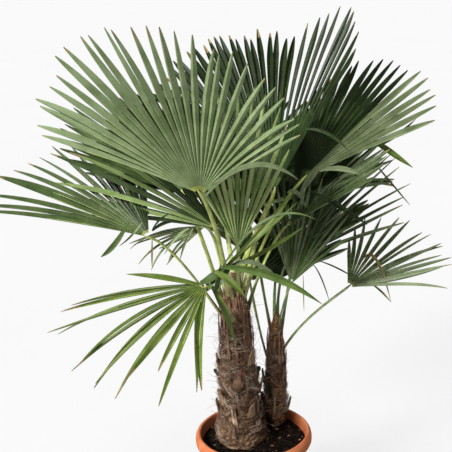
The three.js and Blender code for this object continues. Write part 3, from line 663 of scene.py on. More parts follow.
# A leaf's foot is an azimuth and a height on its stem, which the stalk leaves at
# the angle lean, and arrive is how straight it runs in at the end. Its hub is an
# azimuth, a reach from the stem's axis and a height, and its aim the azimuth and
# elevation of the fan's middle. The leaflets spread between two angles from
# there, and sides is their share of the full radius at these two. cup bends the
# fan up to both sides, fold takes its place at angles below 0, and droop makes
# it sag. hang and limp bend leaflets down, sway and twist turn them, ragged
# shortens some, and belly is their half width. dry holds the odds of 0 to 4 dry
# steps at a tip, and edged is how far out the painted shade in the folds between
# leaflets runs. dress is the leaf's tones, some of them lightened or darkened as
# painted light and shade, and second is another dress between two angles with
# its odds.
FAN_RULES = dict(arrive=0.2, roll=0, turn=0, cup=5, fold=None, droop=0.1, sides=(0.85, 0.85),
                 split=0.30, hang=0.05, limp=0.05, sway=1.0, twist=12, ragged=0.06, belly=0.0095,
                 dry=(0.30, 0.35, 0.25, 0.10, 0), edged=0.6, dress="fresh", second=None, seed=None)
TALL_FANS = [
    # The great front fan, seen from above.
    dict(foot=(246, 0.610), lean=75, hub=(247, 0.163, 0.929), aim=(232, 66), roll=17, turn=-17, radius=0.442,
         spread=(-38, 80), cup=-7, sides=(0.83, 0.72), droop=0.07, leaflets=27, belly=(0.0105, 0.0062),
         split=0.24),
    # The low one at the left edge.
    dict(foot=(184, 0.560), lean=60, hub=(178, 0.199, 0.790), aim=(186, 15), roll=-15, turn=10, radius=0.430,
         spread=(-90, -8), cup=29, sides=(0.45, 0.85), split=0.10, leaflets=17, belly=(0.0055, 0.0080),
         sway=1.6, hang=0.10, limp=0.08, second=("dark", -95, -58, 0.7)),
    # The dark leaflets behind the front fan's left.
    dict(foot=(160, 0.600), lean=80, hub=(150, 0.039, 0.800), aim=(254, 57), roll=-5, turn=-30, radius=0.458,
         spread=(-62, 53), split=0.10, leaflets=12, belly=0.0085, sway=2.5, twist=32, ragged=0.12,
         dress="green", second=("dark", -90, 90, 0.5)),
    # The young upright one in the middle.
    dict(foot=(300, 0.620), lean=85, hub=(286, 0.057, 0.767), aim=(275, 78), radius=0.420,
         spread=(-28, 28), cup=0, sides=(0.85, 0.62), split=0.08, leaflets=11, belly=0.0060, sway=0.8,
         ragged=0.03, dress="lit", second=("green", -30, 30, 0.25)),
    # The old one that hangs in front.
    dict(foot=(255, 0.565), lean=45, hub=(253, 0.204, 0.733), aim=(260, -14), roll=6, turn=7, radius=0.340,
         spread=(-97, -1), sides=(1.11, 0.99), split=0.07, leaflets=13, belly=(0.0044, 0.0068),
         hang=0.15, limp=0.16, sway=3, twist=25, ragged=0.23, seed=201, dry=(0.1, 0.1, 0.2, 0.3, 0.3),
         dress="old"),
    # The shaded one at the right.
    dict(foot=(355, 0.590), lean=78, hub=(15, 0.189, 0.906), aim=(6, 38), roll=40, turn=2, radius=0.391,
         spread=(-21, 60), cup=0, sides=(0.85, 0.38), split=0.30, leaflets=20, belly=0.0085, sway=0.6,
         twist=6, dress="deep", second=("light", -21, 2, 1)),
    # The tall dark one behind, half folded.
    dict(foot=(50, 0.620), lean=85, hub=(24, 0.123, 0.878), aim=(84, 48), roll=16, turn=-6, radius=0.521,
         spread=(-21, 56), cup=-8, fold=257, sides=(0.78, 0.82), split=0.34, leaflets=33, belly=0.0100,
         sway=0.6, twist=6, dress="deep", second=("dark", -21, -2, 0.5)),
    # The small one behind the left side.
    dict(foot=(132, 0.585), lean=75, hub=(114, 0.155, 0.772), aim=(165, 0), roll=-10, radius=0.215,
         spread=(10, 80), droop=0.4, leaflets=9, belly=0.0034, hang=0.3, limp=0.3, ragged=0.5, sway=4,
         dress="lit"),
    # The narrow one at the far right.
    dict(foot=(22, 0.540), lean=75, hub=(26, 0.148, 0.779), aim=(8, 43), roll=4, turn=-7, radius=0.339,
         spread=(-29, 21), leaflets=9),
    # Three that fill the far side.
    dict(foot=(85, 0.600), lean=75, hub=(95, 0.200, 0.815), aim=(92, 38), radius=0.430,
         spread=(-80, 80), cup=15, leaflets=28, dress="shade"),
    dict(foot=(140, 0.545), lean=75, hub=(128, 0.190, 0.860), aim=(122, 42), radius=0.380,
         spread=(-80, 69), cup=15, leaflets=26, dress="shade"),
    dict(foot=(65, 0.545), lean=65, hub=(65, 0.240, 0.800), aim=(70, 15), radius=0.390,
         spread=(-80, 80), cup=15, leaflets=28, hang=0.12, limp=0.1, dress="shade"),
]
SHORT_FANS = [
    # The upright one beside the tall stem.
    dict(foot=(328, 0.500), lean=85, hub=(328, 0.049, 0.634), aim=(9, 72), roll=26, turn=-16, radius=0.295,
         spread=(-25, 53), cup=27, split=0.08, leaflets=14, belly=0.0048, sway=2, dress="shade",
         second=("light", -90, 90, 0.45)),
    # The low one at the lower right.
    dict(foot=(355, 0.430), lean=65, hub=(356, 0.189, 0.613), aim=(11, 18), roll=32, turn=18, radius=0.269,
         spread=(-58, 45), cup=35, sides=(1, 0.4), split=0.10, leaflets=15, belly=0.0052, limp=0.08, sway=4,
         ragged=0.12, dress="light", edged=0.2, second=("lit", -18, 45, 1)),
    # The broad one behind them.
    dict(foot=(60, 0.510), lean=85, hub=(30, 0.036, 0.673), aim=(15, 48), roll=18, turn=-2, radius=0.401,
         spread=(-42, 56), split=0.06, leaflets=16, belly=0.0050, sway=2, dress="shade",
         second=("light", -90, 90, 0.5)),
    # Four that fill the middle and the far side.
    dict(foot=(150, 0.480), lean=80, hub=(125, 0.060, 0.670), aim=(100, 70), radius=0.300,
         spread=(5, 50), leaflets=8, dress="shade"),
    dict(foot=(180, 0.400), lean=75, hub=(120, 0.110, 0.600), aim=(95, 30), radius=0.240,
         spread=(-60, 10), leaflets=11, dress="shade"),
    dict(foot=(48, 0.450), lean=70, hub=(66, 0.165, 0.640), aim=(58, 38), radius=0.280,
         spread=(-50, 60), cup=15, leaflets=19, dress="shade"),
    dict(foot=(90, 0.440), lean=65, hub=(85, 0.170, 0.575), aim=(82, 15), radius=0.280,
         spread=(-60, 25), cup=15, leaflets=13, dress="shade"),
]
CROWNS = {
    name: [{**FAN_RULES, **given} for given in fans]
    for name, fans in (("tall", TALL_FANS), ("short", SHORT_FANS))}


def heading(azimuth, elevation):
    """Unit vector at an azimuth and an elevation in degrees."""
    a, e = radians(azimuth), radians(elevation)
    return np.array([cos(a) * cos(e), sin(a) * cos(e), sin(e)])


def rolled(first, second, angle):
    """Two vectors at right angles, turned by an angle in their own plane."""
    c, s = np.cos(angle), np.sin(angle)
    return first * c + second * s, second * c - first * s


def fan_axes(stem, fan):
    """The hub and the fan's own axes: middle along its middle, side across it
    and face out of its upper side, rolled about the middle, then turned in the
    fan's own plane."""
    hub_turn, reach, height = fan["hub"]
    hub = stem_axis(stem, fan["foot"][1]) + reach * heading(hub_turn, 0)
    hub[2] = height
    middle, side = heading(*fan["aim"]), heading(fan["aim"][0] + 90, 0)
    side, face = rolled(side, np.cross(middle, side), radians(fan["roll"]))
    middle, side = rolled(middle, side, radians(fan["turn"]))
    return hub, middle, side, face


def stalk_tube(stem, fan, size):
    """A flattened limb along one cubic bend from inside the stem to the hub. Its
    section is flat on top and round below, narrows in steps along the way, and
    its two edges bear small teeth."""
    hub, middle, side, _ = fan["axes"]
    turn_by, height = fan["foot"]
    buried = STALK_BURIED * stem_radius(stem, height - SOIL_LEVEL)
    start = stem_axis(stem, height) + buried * heading(turn_by, 0)
    end = hub + (HUB_RADIUS - HUB_GAP) * middle
    span = np.linalg.norm(end - start)
    leave = start + STALK_LEAVES * span * heading(turn_by, fan["lean"])
    arrive = end - fan["arrive"] * span * middle
    t = np.linspace(0, 1, STALK_STEPS)[:, None]
    path = ((1 - t) ** 3 * start + 3 * t * (1 - t) ** 2 * leave
            + 3 * t ** 2 * (1 - t) * arrive + t ** 3 * end)
    along = unit(3 * (1 - t) ** 2 * (leave - start) + 6 * t * (1 - t) * (arrive - leave)
                 + 3 * t ** 2 * (end - arrive))
    across = (1 - t) * heading(turn_by + 90, 0) + t * side
    across = unit(across - (across * along).sum(1, keepdims=True) * along)
    top = np.cross(along, across)
    foot, shaft, tongue = (np.array(size[place]) for place in ("foot", "middle", "hub"))
    sizes = [foot, [0.8, 1] * foot, shaft, shaft, tongue, [0.55, 0.6] * tongue]
    wide, deep = (np.interp(t[:, 0], STALK_STOPS, column)[:, None] for column in np.array(sizes).T)
    turn_round = 2 * pi * np.arange(STALK_SIDES) / STALK_SIDES
    u = np.sign(np.cos(turn_round)) * np.abs(np.cos(turn_round)) ** SQUARED
    v = np.sin(turn_round) * np.where(np.sin(turn_round) > 0, TOP_SHARE, 1.0)
    teeth = 1 + TOOTH * (np.abs(u) > TOOTH_FROM) * (np.arange(STALK_STEPS)[:, None] % 2)
    rings = (path[:, None] + (u * teeth * wide / 2)[..., None] * across[:, None]
             + (v * deep / 2)[..., None] * top[:, None])
    return closed_tube(rings, path[[0, -1]])


def stalk_finish(name, tones, grain=0.035, rough=0.42, relief=0.0002, gloss=0.4):
    """Smooth green skin with tones that run out along the stalk."""
    return mottled_finish(name, tones, grain, rough, relief, 0.0015, (3, 3, 0.6), gloss)


stalk_green = {
    "tall": stalk_finish(
        "stalk_fresh", [(0.145, 0.180, 0.035), (0.225, 0.260, 0.060), (0.300, 0.330, 0.100)]),
    "short": stalk_finish(
        "stalk_shade", [(0.055, 0.085, 0.022), (0.095, 0.135, 0.038), (0.15, 0.19, 0.06)])}
stalk_foot = stalk_finish(
    "stalk_foot", [(0.075, 0.055, 0.022), (0.140, 0.125, 0.050), (0.20, 0.20, 0.075)],
    grain=0.020, rough=0.6, relief=0.0003, gloss=0.2)

for name, fans in CROWNS.items():
    for number, fan in enumerate(fans, 1):
        fan["axes"] = fan_axes(STEMS[name], fan)
        points, faces = stalk_tube(STEMS[name], fan, STALKS[name])
        brown = np.arange(sum(map(len, faces))) < FOOT_SHARE * STALK_STEPS * STALK_SIDES
        stalk = build_piece(f"{name}_leaf_stalk_{number:02d}", points, faces,
                            [stalk_green[name], stalk_foot], brown, crease=60)
        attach(stalk, "root")
        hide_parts(f"{name}_stalk_{number:02d}")


# The blades. Each leaf is a stiff pleated fan, one sheet near its hub and cut
# further out into long leaflets that are folded along their middle, dark above
# and pale below. Many end in a dry tip, and older leaves hang and stray.

PLEAT = 0.95
SHEET_STEPS, FREE_STEPS = 8, 15
ACROSS_AT = np.array([-1, -0.84, -0.11, 0, 0.11, 0.84, 1])
RIGHT_SHARE = (ACROSS_AT + 1) / 2
STRIP_MIDDLE = np.abs(ACROSS_AT[1:] + ACROSS_AT[:-1]) / 2
# The strips round each leaflet's middle take the rib's finish, and its outermost strips, along the folds
# between leaflets, take painted shade.
RIB, FOLD_SHADE_STRIPS = STRIP_MIDDLE < 0.1, STRIP_MIDDLE > 0.9
RIB_REACH, HUB_REACH = 0.62, 0.016
BLADE_THICK, THICK_FADE = 0.0010, 0.035
RIDGE_STRAY, SPLIT_STRAY, WIDTH_STRAY, FOLD_STRAY = (-0.10, 0.10), (0.85, 1.20), (0.9, 1.06), (0.8, 1.5)
VEIN_SCALE = (14, 9, 1)
LEAF_SEEDS = {"tall": 1000, "short": 1100}
ABOVE, BELOW, ON_RIB, ON_DRY, IN_FOLD_SHADE, AT_HUB, SECOND = range(7)


def on_fan(fan, angle, distance):
    """Points of the unpleated fan and its upper normal, at angles from its
    middle in degrees and distances from its hub: a shallow cone, folded up to
    the cup or fold angle at 90 degrees, that sags with the distance cubed."""
    hub, middle, side, face = fan["axes"]
    fold = fan["cup"] if fan["fold"] is None else np.where(angle < 0, fan["fold"], fan["cup"])
    tilt = np.radians(fold * np.minimum(np.abs(angle) / 90, 1.2))[..., None]
    a = np.radians(angle)[..., None]
    along, normal = rolled(np.cos(a) * middle + np.sin(a) * side, face, tilt)
    point = hub + distance[..., None] * along
    point[..., 2] -= fan["droop"] * fan["radius"] * (distance / fan["radius"]) ** 3 / 3
    return point, normal


def joined_sheet(fan, ridge, split):
    """The pleated sheet from the hub out to the split: the ridges between
    leaflets lie on the fan, and each leaflet's middle sinks below it. Returns
    its two skins and the mean distance of each row from the hub."""
    reach = HUB_RADIUS + (split[:, None] - HUB_RADIUS) * np.linspace(0, 1, SHEET_STEPS + 1)
    angle = ridge[:-1, None, None] * (1 - RIGHT_SHARE) + ridge[1:, None, None] * RIGHT_SHARE
    angle = angle * np.ones((1, SHEET_STEPS + 1, 1))
    distance = reach[:-1, :, None] * (1 - RIGHT_SHARE) + reach[1:, :, None] * RIGHT_SHARE
    half = distance * np.tan(np.radians(np.diff(ridge) / 2))[:, None, None]
    valley = -PLEAT * half * (1 - np.abs(ACROSS_AT))
    thick = BLADE_THICK * (1 + np.exp(-distance / THICK_FADE)) / 2
    point, normal = on_fan(fan, angle, distance)
    skins = [point + (valley + side * thick)[..., None] * normal for side in (1, -1)]
    return np.stack(skins, 2), distance.mean(2)


def leaflet_lines(fan, middle, out, s, draw):
    """The middle line of each free leaflet and its axes across and upward: it
    sways off its own angle, is bent towards the ground by its own share, and
    turns about itself, all growing with its run s."""
    n = len(middle)
    sway = draw.normal(0, fan["sway"], n)[:, None] * s ** 1.5
    line, _ = on_fan(fan, middle[:, None] + sway, out)
    step = np.diff(line, axis=1)
    length = np.linalg.norm(step, axis=-1, keepdims=True)
    hang = np.clip(fan["hang"] + fan["limp"] * draw.normal(size=n), 0, 0.95)[:, None]
    weight = (hang * s[1:] ** 1.3)[..., None]
    way = unit((1 - weight) * step / length + weight * np.array([0, 0, -1.0]))
    line = np.concatenate([line[:, :1], line[:, :1] + np.cumsum(way * length, 1)], 1)
    along = unit(np.gradient(line, axis=1))
    before, beyond = (on_fan(fan, middle[:, None] + aside + 0 * out, out)[0] for aside in (-0.5, 0.5))
    across = beyond - before
    across = unit(across - (across * along).sum(-1, keepdims=True) * along)
    curl = np.radians(draw.normal(0, fan["twist"], n))[:, None, None] * (s ** 1.2)[:, None]
    return line, *rolled(across, np.cross(along, across), curl)


def free_leaflets(fan, ridge, split, draw):
    """The leaflets past the split. Each keeps its fold, swells from the sheet's
    width to its own belly and narrows along a flattened curve to its tip.
    Returns their two skins and each row's distance from the hub."""
    low, high = fan["spread"]
    middle, opening = (ridge[1:] + ridge[:-1]) / 2, np.tan(np.radians(np.diff(ridge) / 2))[:, None]
    n = len(middle)
    s = 1 - (1 - np.linspace(0, 1, FREE_STEPS + 1)) ** 1.5
    root = (split[:-1] + split[1:]) / 2
    edge, limit = np.where(middle < 0, *fan["sides"]), np.where(middle < 0, low, high)
    full = fan["radius"] * (1 - (1 - edge) * (middle / limit) ** 2)
    tip = full * (1 - fan["ragged"] * draw.power(0.6, n) ** 2)
    out = root[:, None] + (tip - root)[:, None] * s
    line, across, upward = leaflet_lines(fan, middle, out, s, draw)
    swollen = np.sin(pi / 2 * np.clip(s / 0.5, 0, 1))
    belly = np.interp(middle, (low, high), np.broadcast_to(fan["belly"], 2))[:, None]
    wide = root[:, None] * opening * (1 - swollen) + belly * swollen
    wide *= draw.uniform(*WIDTH_STRAY, n)[:, None] * ((1 - s ** 4) ** 0.8 + 0.12)
    wide = np.minimum(wide, out * opening)
    fold = PLEAT * draw.uniform(*FOLD_STRAY, n)[:, None, None]
    grow = np.clip(s * 4, 0, 1)[:, None]
    depth = -(PLEAT + (fold - PLEAT) * grow) * wide[..., None] * (1 - np.abs(ACROSS_AT))
    thin = BLADE_THICK / 2 * (1 - 0.5 * s)[:, None]
    flat = line[:, :, None] + (wide[..., None] * ACROSS_AT)[..., None] * across[:, :, None]
    skins = [flat + (depth + side * thin)[..., None] * upward[:, :, None] for side in (1, -1)]
    return np.stack(skins, 2), out


def strip_looks(fan, middle, far, draw):
    """The finish number of each strip of each leaflet, above and below: a dry
    tip's, the hub's, the rib's, the painted shade along the folds between
    leaflets, else the leaflet's own, which is the fan's second dress where a
    draw gives it that."""
    n, stations = far.shape
    dry_steps = draw.choice(len(fan["dry"]), n, p=fan["dry"])[:, None]
    dry = (np.arange(stations - 1) >= stations - 1 - dry_steps)[..., None]
    near_hub = (far[:, :-1] < HUB_REACH)[..., None]
    taken = np.zeros(n, bool)
    if fan["second"]:
        _, from_angle, to_angle, odds = fan["second"]
        taken = (middle > from_angle) & (middle < to_angle) & (draw.uniform(size=n) < odds)
    taken = taken[:, None, None]
    ribbed = RIB & (far[:, 1:, None] < RIB_REACH * fan["radius"]) & ~taken
    # The outer strips out to edged of the radius take painted shade for the folds.
    edged = FOLD_SHADE_STRIPS & (far[:, 1:, None] < fan["edged"] * fan["radius"])
    strips = [np.where(ribbed, ON_RIB, np.where(edged, IN_FOLD_SHADE, own + SECOND * taken))
              for own in (ABOVE, BELOW)]
    return [np.where(dry, ON_DRY, np.where(near_hub, AT_HUB, strip)) for strip in strips]


def leaf_skin(index, above, below):
    """Quads over both sides of every leaflet, along its edges where no leaflet
    joins it, and over its two ends, and the finish of each quad."""
    top, bottom = index[:, :, 0], index[:, :, 1]
    first, final = (np.zeros(below.shape[:2], bool) for _ in range(2))
    first[0], final[-1] = True, True
    first[:, SHEET_STEPS:] = final[:, SHEET_STEPS:] = True
    skins = [
        (above, top[:, :-1, :-1], top[:, 1:, :-1], top[:, 1:, 1:], top[:, :-1, 1:]),
        (below, bottom[:, :-1, 1:], bottom[:, 1:, 1:], bottom[:, 1:, :-1], bottom[:, :-1, :-1])]
    for free, k, a, b in ((first, 0, bottom, top), (final, -1, top, bottom)):
        edges = below[..., k], a[:, :-1, k], a[:, 1:, k], b[:, 1:, k], b[:, :-1, k]
        skins.append([part[free] for part in edges])
    skins += [
        (ON_RIB, bottom[:, 0, :-1], top[:, 0, :-1], top[:, 0, 1:], bottom[:, 0, 1:]),
        (above[:, -1], top[:, -1, :-1], bottom[:, -1, :-1], bottom[:, -1, 1:], top[:, -1, 1:])]
    quads = [np.stack(corners, -1).reshape(-1, 4) for _, *corners in skins]
    picks = [np.broadcast_to(look, corner.shape).ravel() for look, corner, *_ in skins]
    return quads, np.concatenate(picks)


def leaf_blade(fan, seed):
    """The blade as one closed skin: the joined sheet, where neighbours share the
    ridge between them, and the free leaflets. Returns points, faces, the finish
    of each face and the blade's own map: leaflet number and distance."""
    draw = np.random.default_rng(seed)
    n, (low, high) = fan["leaflets"], fan["spread"]
    ridge = np.linspace(low, high, n + 1)
    ridge[1:-1] += (high - low) / n * draw.uniform(*RIDGE_STRAY, n - 1)
    split = fan["split"] * fan["radius"] * draw.uniform(*SPLIT_STRAY, n + 1)
    sheet, sheet_far = joined_sheet(fan, ridge, split)
    free, free_far = free_leaflets(fan, ridge, split, draw)
    far = np.concatenate([sheet_far, free_far[:, 1:]], 1)
    points = np.concatenate([sheet, free[:, 1:]], 1)
    index = np.arange(points[..., 0].size).reshape(points.shape[:-1])
    index[:-1, :SHEET_STEPS + 1, :, -1] = index[1:, :SHEET_STEPS + 1, :, 0]
    own_map = np.zeros((*index.shape, 2))
    own_map[..., 0] = np.arange(n)[:, None, None, None] + RIGHT_SHARE
    own_map[..., 1] = far[:, :, None, None]
    looks = strip_looks(fan, (ridge[1:] + ridge[:-1]) / 2, far, draw)
    return points, *leaf_skin(index, *looks), own_map


def leaf_finish(name, tones, rough=0.55, gloss=0.1):
    """A leaf's skin: tones that drift over the blade in patches, with fine veins
    raised along each leaflet, set out in the blade's own map."""
    look = mottled_finish(name, tones, grain=0.05, rough=rough, relief=0.0003, relief_grain=1, gloss=gloss)
    nodes, links = look.node_tree.nodes, look.node_tree.links
    own = new_node(nodes, "UVMap")
    own.uv_map = "own_map"
    scaled = new_node(nodes, "Mapping", Scale=VEIN_SCALE)
    links.new(own.outputs["UV"], scaled.inputs["Vector"])
    links.new(scaled.outputs["Vector"], nodes["relief_grains"].inputs["Vector"])
    return look


leaf_dry = leaf_finish("leaf_dry_tip", [(0.13, 0.100, 0.040), (0.24, 0.20, 0.090)], 0.7)
# The fold finish is painted shade: a dark green for the shade that falls in the folds between the leaflets.
leaf_fold_painted_shade = leaf_finish("leaf_fold_painted_shade", [(0.010, 0.018, 0.005), (0.026, 0.040, 0.014)], 0.6)
leaf_pale = leaf_finish("leaf_pale", [(0.095, 0.125, 0.060), (0.160, 0.190, 0.105)], 0.6)
# The rib finish is the leaf's pale midrib, made brighter than it is as painted highlight where the pleats'
# ridges catch the light.
rib_pale_and_highlight = leaf_finish("leaf_rib_pale_and_highlight", [(0.200, 0.260, 0.085), (0.280, 0.340, 0.130)])
hub_yellow = leaf_finish("leaf_hub_yellow", [(0.200, 0.225, 0.055), (0.290, 0.310, 0.090)])
rib_dark = leaf_finish("leaf_rib_dark", [(0.045, 0.078, 0.022), (0.072, 0.112, 0.036)])
BRIGHT = [rib_pale_and_highlight, leaf_dry, leaf_fold_painted_shade, hub_yellow]
DARK = [rib_dark, leaf_dry, leaf_fold_painted_shade, rib_dark]
# Leaf dresses, each with an upper and a lower side. fresh, green and old are the leaves' own greens, old
# yellowing with age. lit and light are the same leaf lightened: painted light for fans and leaflets that
# stand in the crown's shade. shade, dark and deep are the same leaf darkened: painted shade for the fans and
# leaflets inside the crown and behind the front fans, and deep's upper side is far darker than a real leaf.
LEAF_TONES_AND_PAINTED_LIGHT = {
    "fresh": ([(0.034, 0.058, 0.014), (0.062, 0.092, 0.028)],
              [(0.110, 0.152, 0.066), (0.180, 0.230, 0.116)], BRIGHT),
    "green": ([(0.036, 0.064, 0.010), (0.075, 0.115, 0.024)],
              [(0.105, 0.155, 0.046), (0.170, 0.230, 0.086)], BRIGHT),
    "lit": ([(0.130, 0.170, 0.070), (0.200, 0.245, 0.120)],
            [(0.210, 0.270, 0.095), (0.310, 0.375, 0.160)], BRIGHT),
    "light": ([(0.080, 0.106, 0.046), (0.130, 0.160, 0.080)],
              [(0.110, 0.145, 0.062), (0.155, 0.190, 0.095)], BRIGHT),
    "shade": ([(0.032, 0.055, 0.013), (0.072, 0.104, 0.034)],
              [(0.080, 0.108, 0.046), (0.125, 0.155, 0.075)], DARK),
    "dark": ([(0.010, 0.020, 0.005), (0.024, 0.040, 0.011)],
             [(0.022, 0.038, 0.012), (0.048, 0.072, 0.026)], DARK),
    "deep": ([(0.006, 0.013, 0.003), (0.015, 0.026, 0.007)],
             [(0.066, 0.086, 0.036), (0.100, 0.124, 0.060)], DARK),
    "old": ([(0.052, 0.086, 0.011), (0.112, 0.148, 0.030)],
            [(0.078, 0.108, 0.026), (0.120, 0.150, 0.044)], BRIGHT),
}
LEAF_LOOKS_AND_PAINTED_LIGHT = {
    kind: [leaf_finish(f"leaf_{kind}_above", above, 0.45, 0.18),
           leaf_finish(f"leaf_{kind}_below", below, 0.6)]
    for kind, (above, below, _) in LEAF_TONES_AND_PAINTED_LIGHT.items()}

for name, fans in CROWNS.items():
    for number, fan in enumerate(fans, 1):
        seed = fan["seed"] or LEAF_SEEDS[name] + number
        points, faces, pick, own_map = leaf_blade(fan, seed)
        # A fan's dress and second dress carry its painted light and shade.
        looks = LEAF_LOOKS_AND_PAINTED_LIGHT[fan["dress"]] + LEAF_TONES_AND_PAINTED_LIGHT[fan["dress"]][2]
        if fan["second"]:
            looks = looks + LEAF_LOOKS_AND_PAINTED_LIGHT[fan["second"][0]]
        blade = build_piece(
            f"{name}_leaf_blade_{number:02d}", points, faces, looks, pick, own_map, crease=28)
        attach(blade, "root")
        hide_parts(f"{name}_fan_{number:02d}")


# The strays. Torn, bent and dead leaflets that hang loose among the fans. Each
# is given by its width, its two ends, and how far its middle swings towards
# the viewer and up, all in metres. Each kind takes the upper side of the dress
# of its name, so the lit, light, shade and dark strays carry that painted light
# and shade; old, fresh, green, pale and dry are the leaflets' own colours.

STRAYS = {
    "old": [
        (0.011, (-0.085, -0.200, 0.730), (-0.035, -0.210, 0.585), (0.005, 0.020)),
        (0.009, (-0.070, -0.190, 0.750), (0.120, -0.160, 0.940), (0.000, -0.010)),
        (0.009, (-0.070, -0.190, 0.750), (0.120, -0.120, 0.890), (0.000, 0.000)),
        (0.012, (-0.075, -0.210, 0.765), (-0.010, -0.250, 0.715), (0.005, 0.010)),
        (0.008, (-0.045, -0.170, 0.760), (0.130, -0.120, 0.830), (-0.005, -0.010)),
        (0.013, (0.310, 0.040, 1.000), (0.410, 0.020, 0.925), (0.000, 0.000)),
        (0.015, (-0.112, -0.215, 0.728), (-0.130, -0.225, 0.482), (0.000, 0.000)),
        (0.010, (-0.100, -0.200, 0.728), (-0.270, -0.200, 0.765), (0.000, 0.006)),
    ],
    "fresh": [
        (0.016, (-0.110, -0.195, 0.735), (-0.050, -0.190, 0.770), (0.022, 0.002)),
        (0.012, (-0.080, -0.205, 0.715), (-0.040, -0.180, 0.760), (0.025, 0.012)),
        (0.007, (-0.065, -0.190, 0.755), (0.150, -0.220, 0.875), (0.000, 0.060)),
        (0.010, (-0.265, -0.130, 0.865), (-0.330, -0.160, 0.795), (0.000, -0.010)),
    ],
    "green": [
        (0.012, (-0.100, -0.205, 0.720), (-0.060, -0.185, 0.775), (0.025, -0.005)),
        (0.014, (-0.060, -0.200, 0.770), (0.155, -0.260, 0.695), (0.000, 0.022)),
    ],
    "light": [
        (0.009, (-0.085, -0.220, 0.940), (0.110, -0.260, 0.975), (0.030, 0.055)),
    ],
    "lit": [
        (0.004, (-0.235, -0.120, 0.860), (-0.290, -0.130, 0.810), (0.000, -0.005)),
        (0.005, (-0.130, -0.120, 0.840), (-0.190, -0.120, 0.780), (0.000, 0.010)),
        (0.005, (-0.120, -0.120, 0.840), (-0.155, -0.120, 0.765), (0.000, 0.010)),
    ],
    "shade": [
        (0.004, (0.330, 0.120, 0.925), (0.425, 0.120, 0.805), (0.000, 0.000)),
        (0.006, (0.320, 0.100, 0.960), (0.435, 0.100, 1.030), (0.000, -0.010)),
        (0.003, (0.165, 0.030, 0.690), (0.205, 0.030, 0.590), (0.000, 0.015)),
        (0.003, (0.175, 0.030, 0.700), (0.270, 0.020, 0.650), (0.000, 0.005)),
    ],
    "dark": [
        (0.010, (0.160, 0.000, 0.885), (0.290, -0.040, 0.805), (0.000, 0.005)),
        (0.006, (0.150, -0.030, 1.040), (0.245, -0.060, 0.990), (0.000, 0.015)),
        (0.008, (-0.222, -0.020, 0.812), (-0.180, -0.030, 0.852), (0.000, 0.008)),
        (0.007, (-0.222, -0.020, 0.810), (-0.165, -0.030, 0.832), (0.000, 0.008)),
        (0.026, (0.145, 0.160, 0.880), (0.163, 0.160, 1.030), (0.000, 0.000)),
    ],
    "pale": [
        (0.008, (-0.060, -0.180, 0.750), (0.080, -0.150, 0.700), (0.010, 0.045)),
        (0.011, (0.135, 0.010, 0.870), (0.180, -0.020, 0.940), (0.005, 0.010)),
        (0.010, (0.140, 0.020, 0.845), (0.145, -0.030, 0.895), (0.020, 0.020)),
        (0.008, (0.105, -0.010, 0.885), (0.145, -0.030, 0.855), (0.010, 0.020)),
        (0.010, (0.185, 0.010, 0.930), (0.280, -0.010, 0.920), (0.005, 0.012)),
    ],
    "dry": [
        (0.006, (0.290, 0.060, 0.680), (0.360, 0.030, 0.580), (0.000, 0.060)),
        (0.004, (0.315, 0.060, 0.620), (0.365, 0.050, 0.570), (0.000, 0.005)),
        (0.002, (0.140, 0.020, 0.665), (0.140, 0.020, 0.570), (0.000, 0.000)),
        (0.003, (-0.215, -0.120, 0.820), (-0.220, -0.120, 0.750), (0.000, 0.000)),
    ],
}
STRAY_STEPS, STRAY_FOLD, STRAY_ROLL, STRAY_CURL, STRAY_SEED = 24, 0.5, 15, 35, 77
STRAY_FACE = [0, -0.8, 0.6]


def stray_leaflets(rows, seed):
    """Closed folded strips. Each runs from its first end to its last one on a
    parabola, is widest past its middle, narrows to both ends, faces up and
    towards the viewer, and turns a little about its own line."""
    draw = np.random.default_rng(seed)
    t = np.linspace(0, 1, STRAY_STEPS + 1)
    width, start, end, swing = (np.array(column) for column in zip(*rows))
    arch = 4 * t * (1 - t)
    path = start[:, None] + (end - start)[:, None] * t[:, None]
    path[..., 1] -= swing[:, :1] * arch
    path[..., 2] += swing[:, 1:] * arch
    along = unit(np.gradient(path, axis=1))
    across = unit(np.cross(along, STRAY_FACE))
    turned_by = draw.normal(0, STRAY_ROLL, (len(rows), 1, 1))
    turned_by = np.radians(turned_by + draw.normal(0, STRAY_CURL, (len(rows), 1, 1)) * t[:, None])
    across, upward = rolled(across, np.cross(across, along), turned_by)
    half = width[:, None] / 2 * ((0.35 + 2.2 * t) * (1 - t ** 1.8) / 0.80 + 0.06)
    lift = -STRAY_FOLD * half[..., None] * (1 - np.abs(ACROSS_AT))
    flat = path[:, :, None] + (half[..., None] * ACROSS_AT)[..., None] * across[:, :, None]
    return closed_plates(*(
        flat + (lift + side * BLADE_THICK / 2)[..., None] * upward[:, :, None] for side in (1, -1)))


stray_look = {**{kind: LEAF_LOOKS_AND_PAINTED_LIGHT[kind][0] for kind in LEAF_LOOKS_AND_PAINTED_LIGHT}, "pale": leaf_pale, "dry": leaf_dry}
for kind, rows in STRAYS.items():
    points, faces = stray_leaflets(rows, STRAY_SEED)
    strays = build_piece(f"stray_leaflets_{kind}", points, [faces], [stray_look[kind]], crease=28)
    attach(strays, "root")


# The stage. A plain pale floor under soft studio light, and the camera at the
# photograph's own place: a little above the crown's top, looking down.

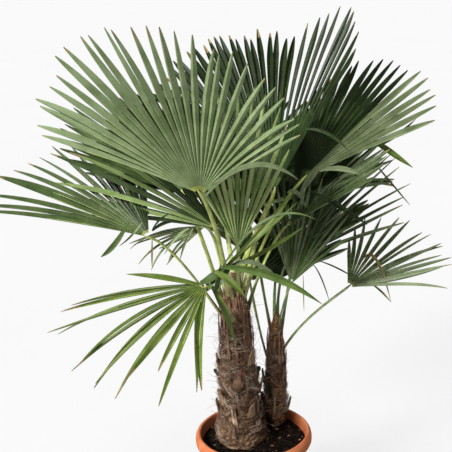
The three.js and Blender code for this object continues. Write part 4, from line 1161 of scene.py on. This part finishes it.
FLOOR_REACH, FLOOR_GLOW, ROOM_GLOW = 2000.0, 0.83, 0.30
CAMERA_PLACE = (-0.045, -2.10, 1.406)
LENS, SENSOR = 72, 36
PITCH, ROLL = radians(15.9), radians(2.8)

floor_look = mottled_finish(
    "floor_paper", [(0.055, 0.055, 0.055), (0.060, 0.060, 0.060)],
    grain=1.0, rough=0.9, relief=0.0001, relief_grain=0.01, gloss=0.0)
floor_shader = floor_look.node_tree.nodes["Principled BSDF"]
floor_shader.inputs["Emission Color"].default_value = (1, 1, 1, 1)
floor_shader.inputs["Emission Strength"].default_value = FLOOR_GLOW
floor_points = FLOOR_REACH * np.array([[-1, -1, 0], [1, -1, 0], [1, 1, 0], [-1, 1, 0]])
floor = build_piece("floor_paper", floor_points, [np.array([[0, 1, 2, 3]])], [floor_look])

world = bpy.data.worlds.new("studio")
bpy.context.scene.world = world
world.use_nodes = True
world.node_tree.nodes["Background"].inputs["Color"].default_value = (1, 1, 1, 1)
world.node_tree.nodes["Background"].inputs["Strength"].default_value = ROOM_GLOW


def soft_sun(name, azimuth, elevation, strength, breadth):
    """A sun that shines from an azimuth and elevation, as broad as a soft box."""
    lamp = bpy.data.lights.new(name, "SUN")
    lamp.energy, lamp.angle = strength, radians(breadth)
    lamp_object = bpy.data.objects.new(name, lamp)
    bpy.context.scene.collection.objects.link(lamp_object)
    away = Vector(heading(azimuth, elevation))
    lamp_object.rotation_euler = away.to_track_quat("Z", "Y").to_euler()


soft_sun("key_light", azimuth=222, elevation=36, strength=6.2, breadth=12)
soft_sun("top_light", azimuth=250, elevation=80, strength=2.2, breadth=20)

ahead = np.array([0, cos(PITCH), -sin(PITCH)])
upright = np.array([0, sin(PITCH), cos(PITCH)])
up_way, right_way = rolled(upright, np.array([1.0, 0, 0]), ROLL)
lens = bpy.data.cameras.new("camera")
lens.lens, lens.sensor_width = LENS, SENSOR
camera = bpy.data.objects.new("camera", lens)
bpy.context.scene.collection.objects.link(camera)
camera.matrix_world = Matrix([*np.c_[right_way, up_way, -ahead, CAMERA_PLACE].tolist(), [0, 0, 0, 1]])
bpy.context.scene.camera = camera
bpy.context.scene.view_settings.view_transform = "Standard"
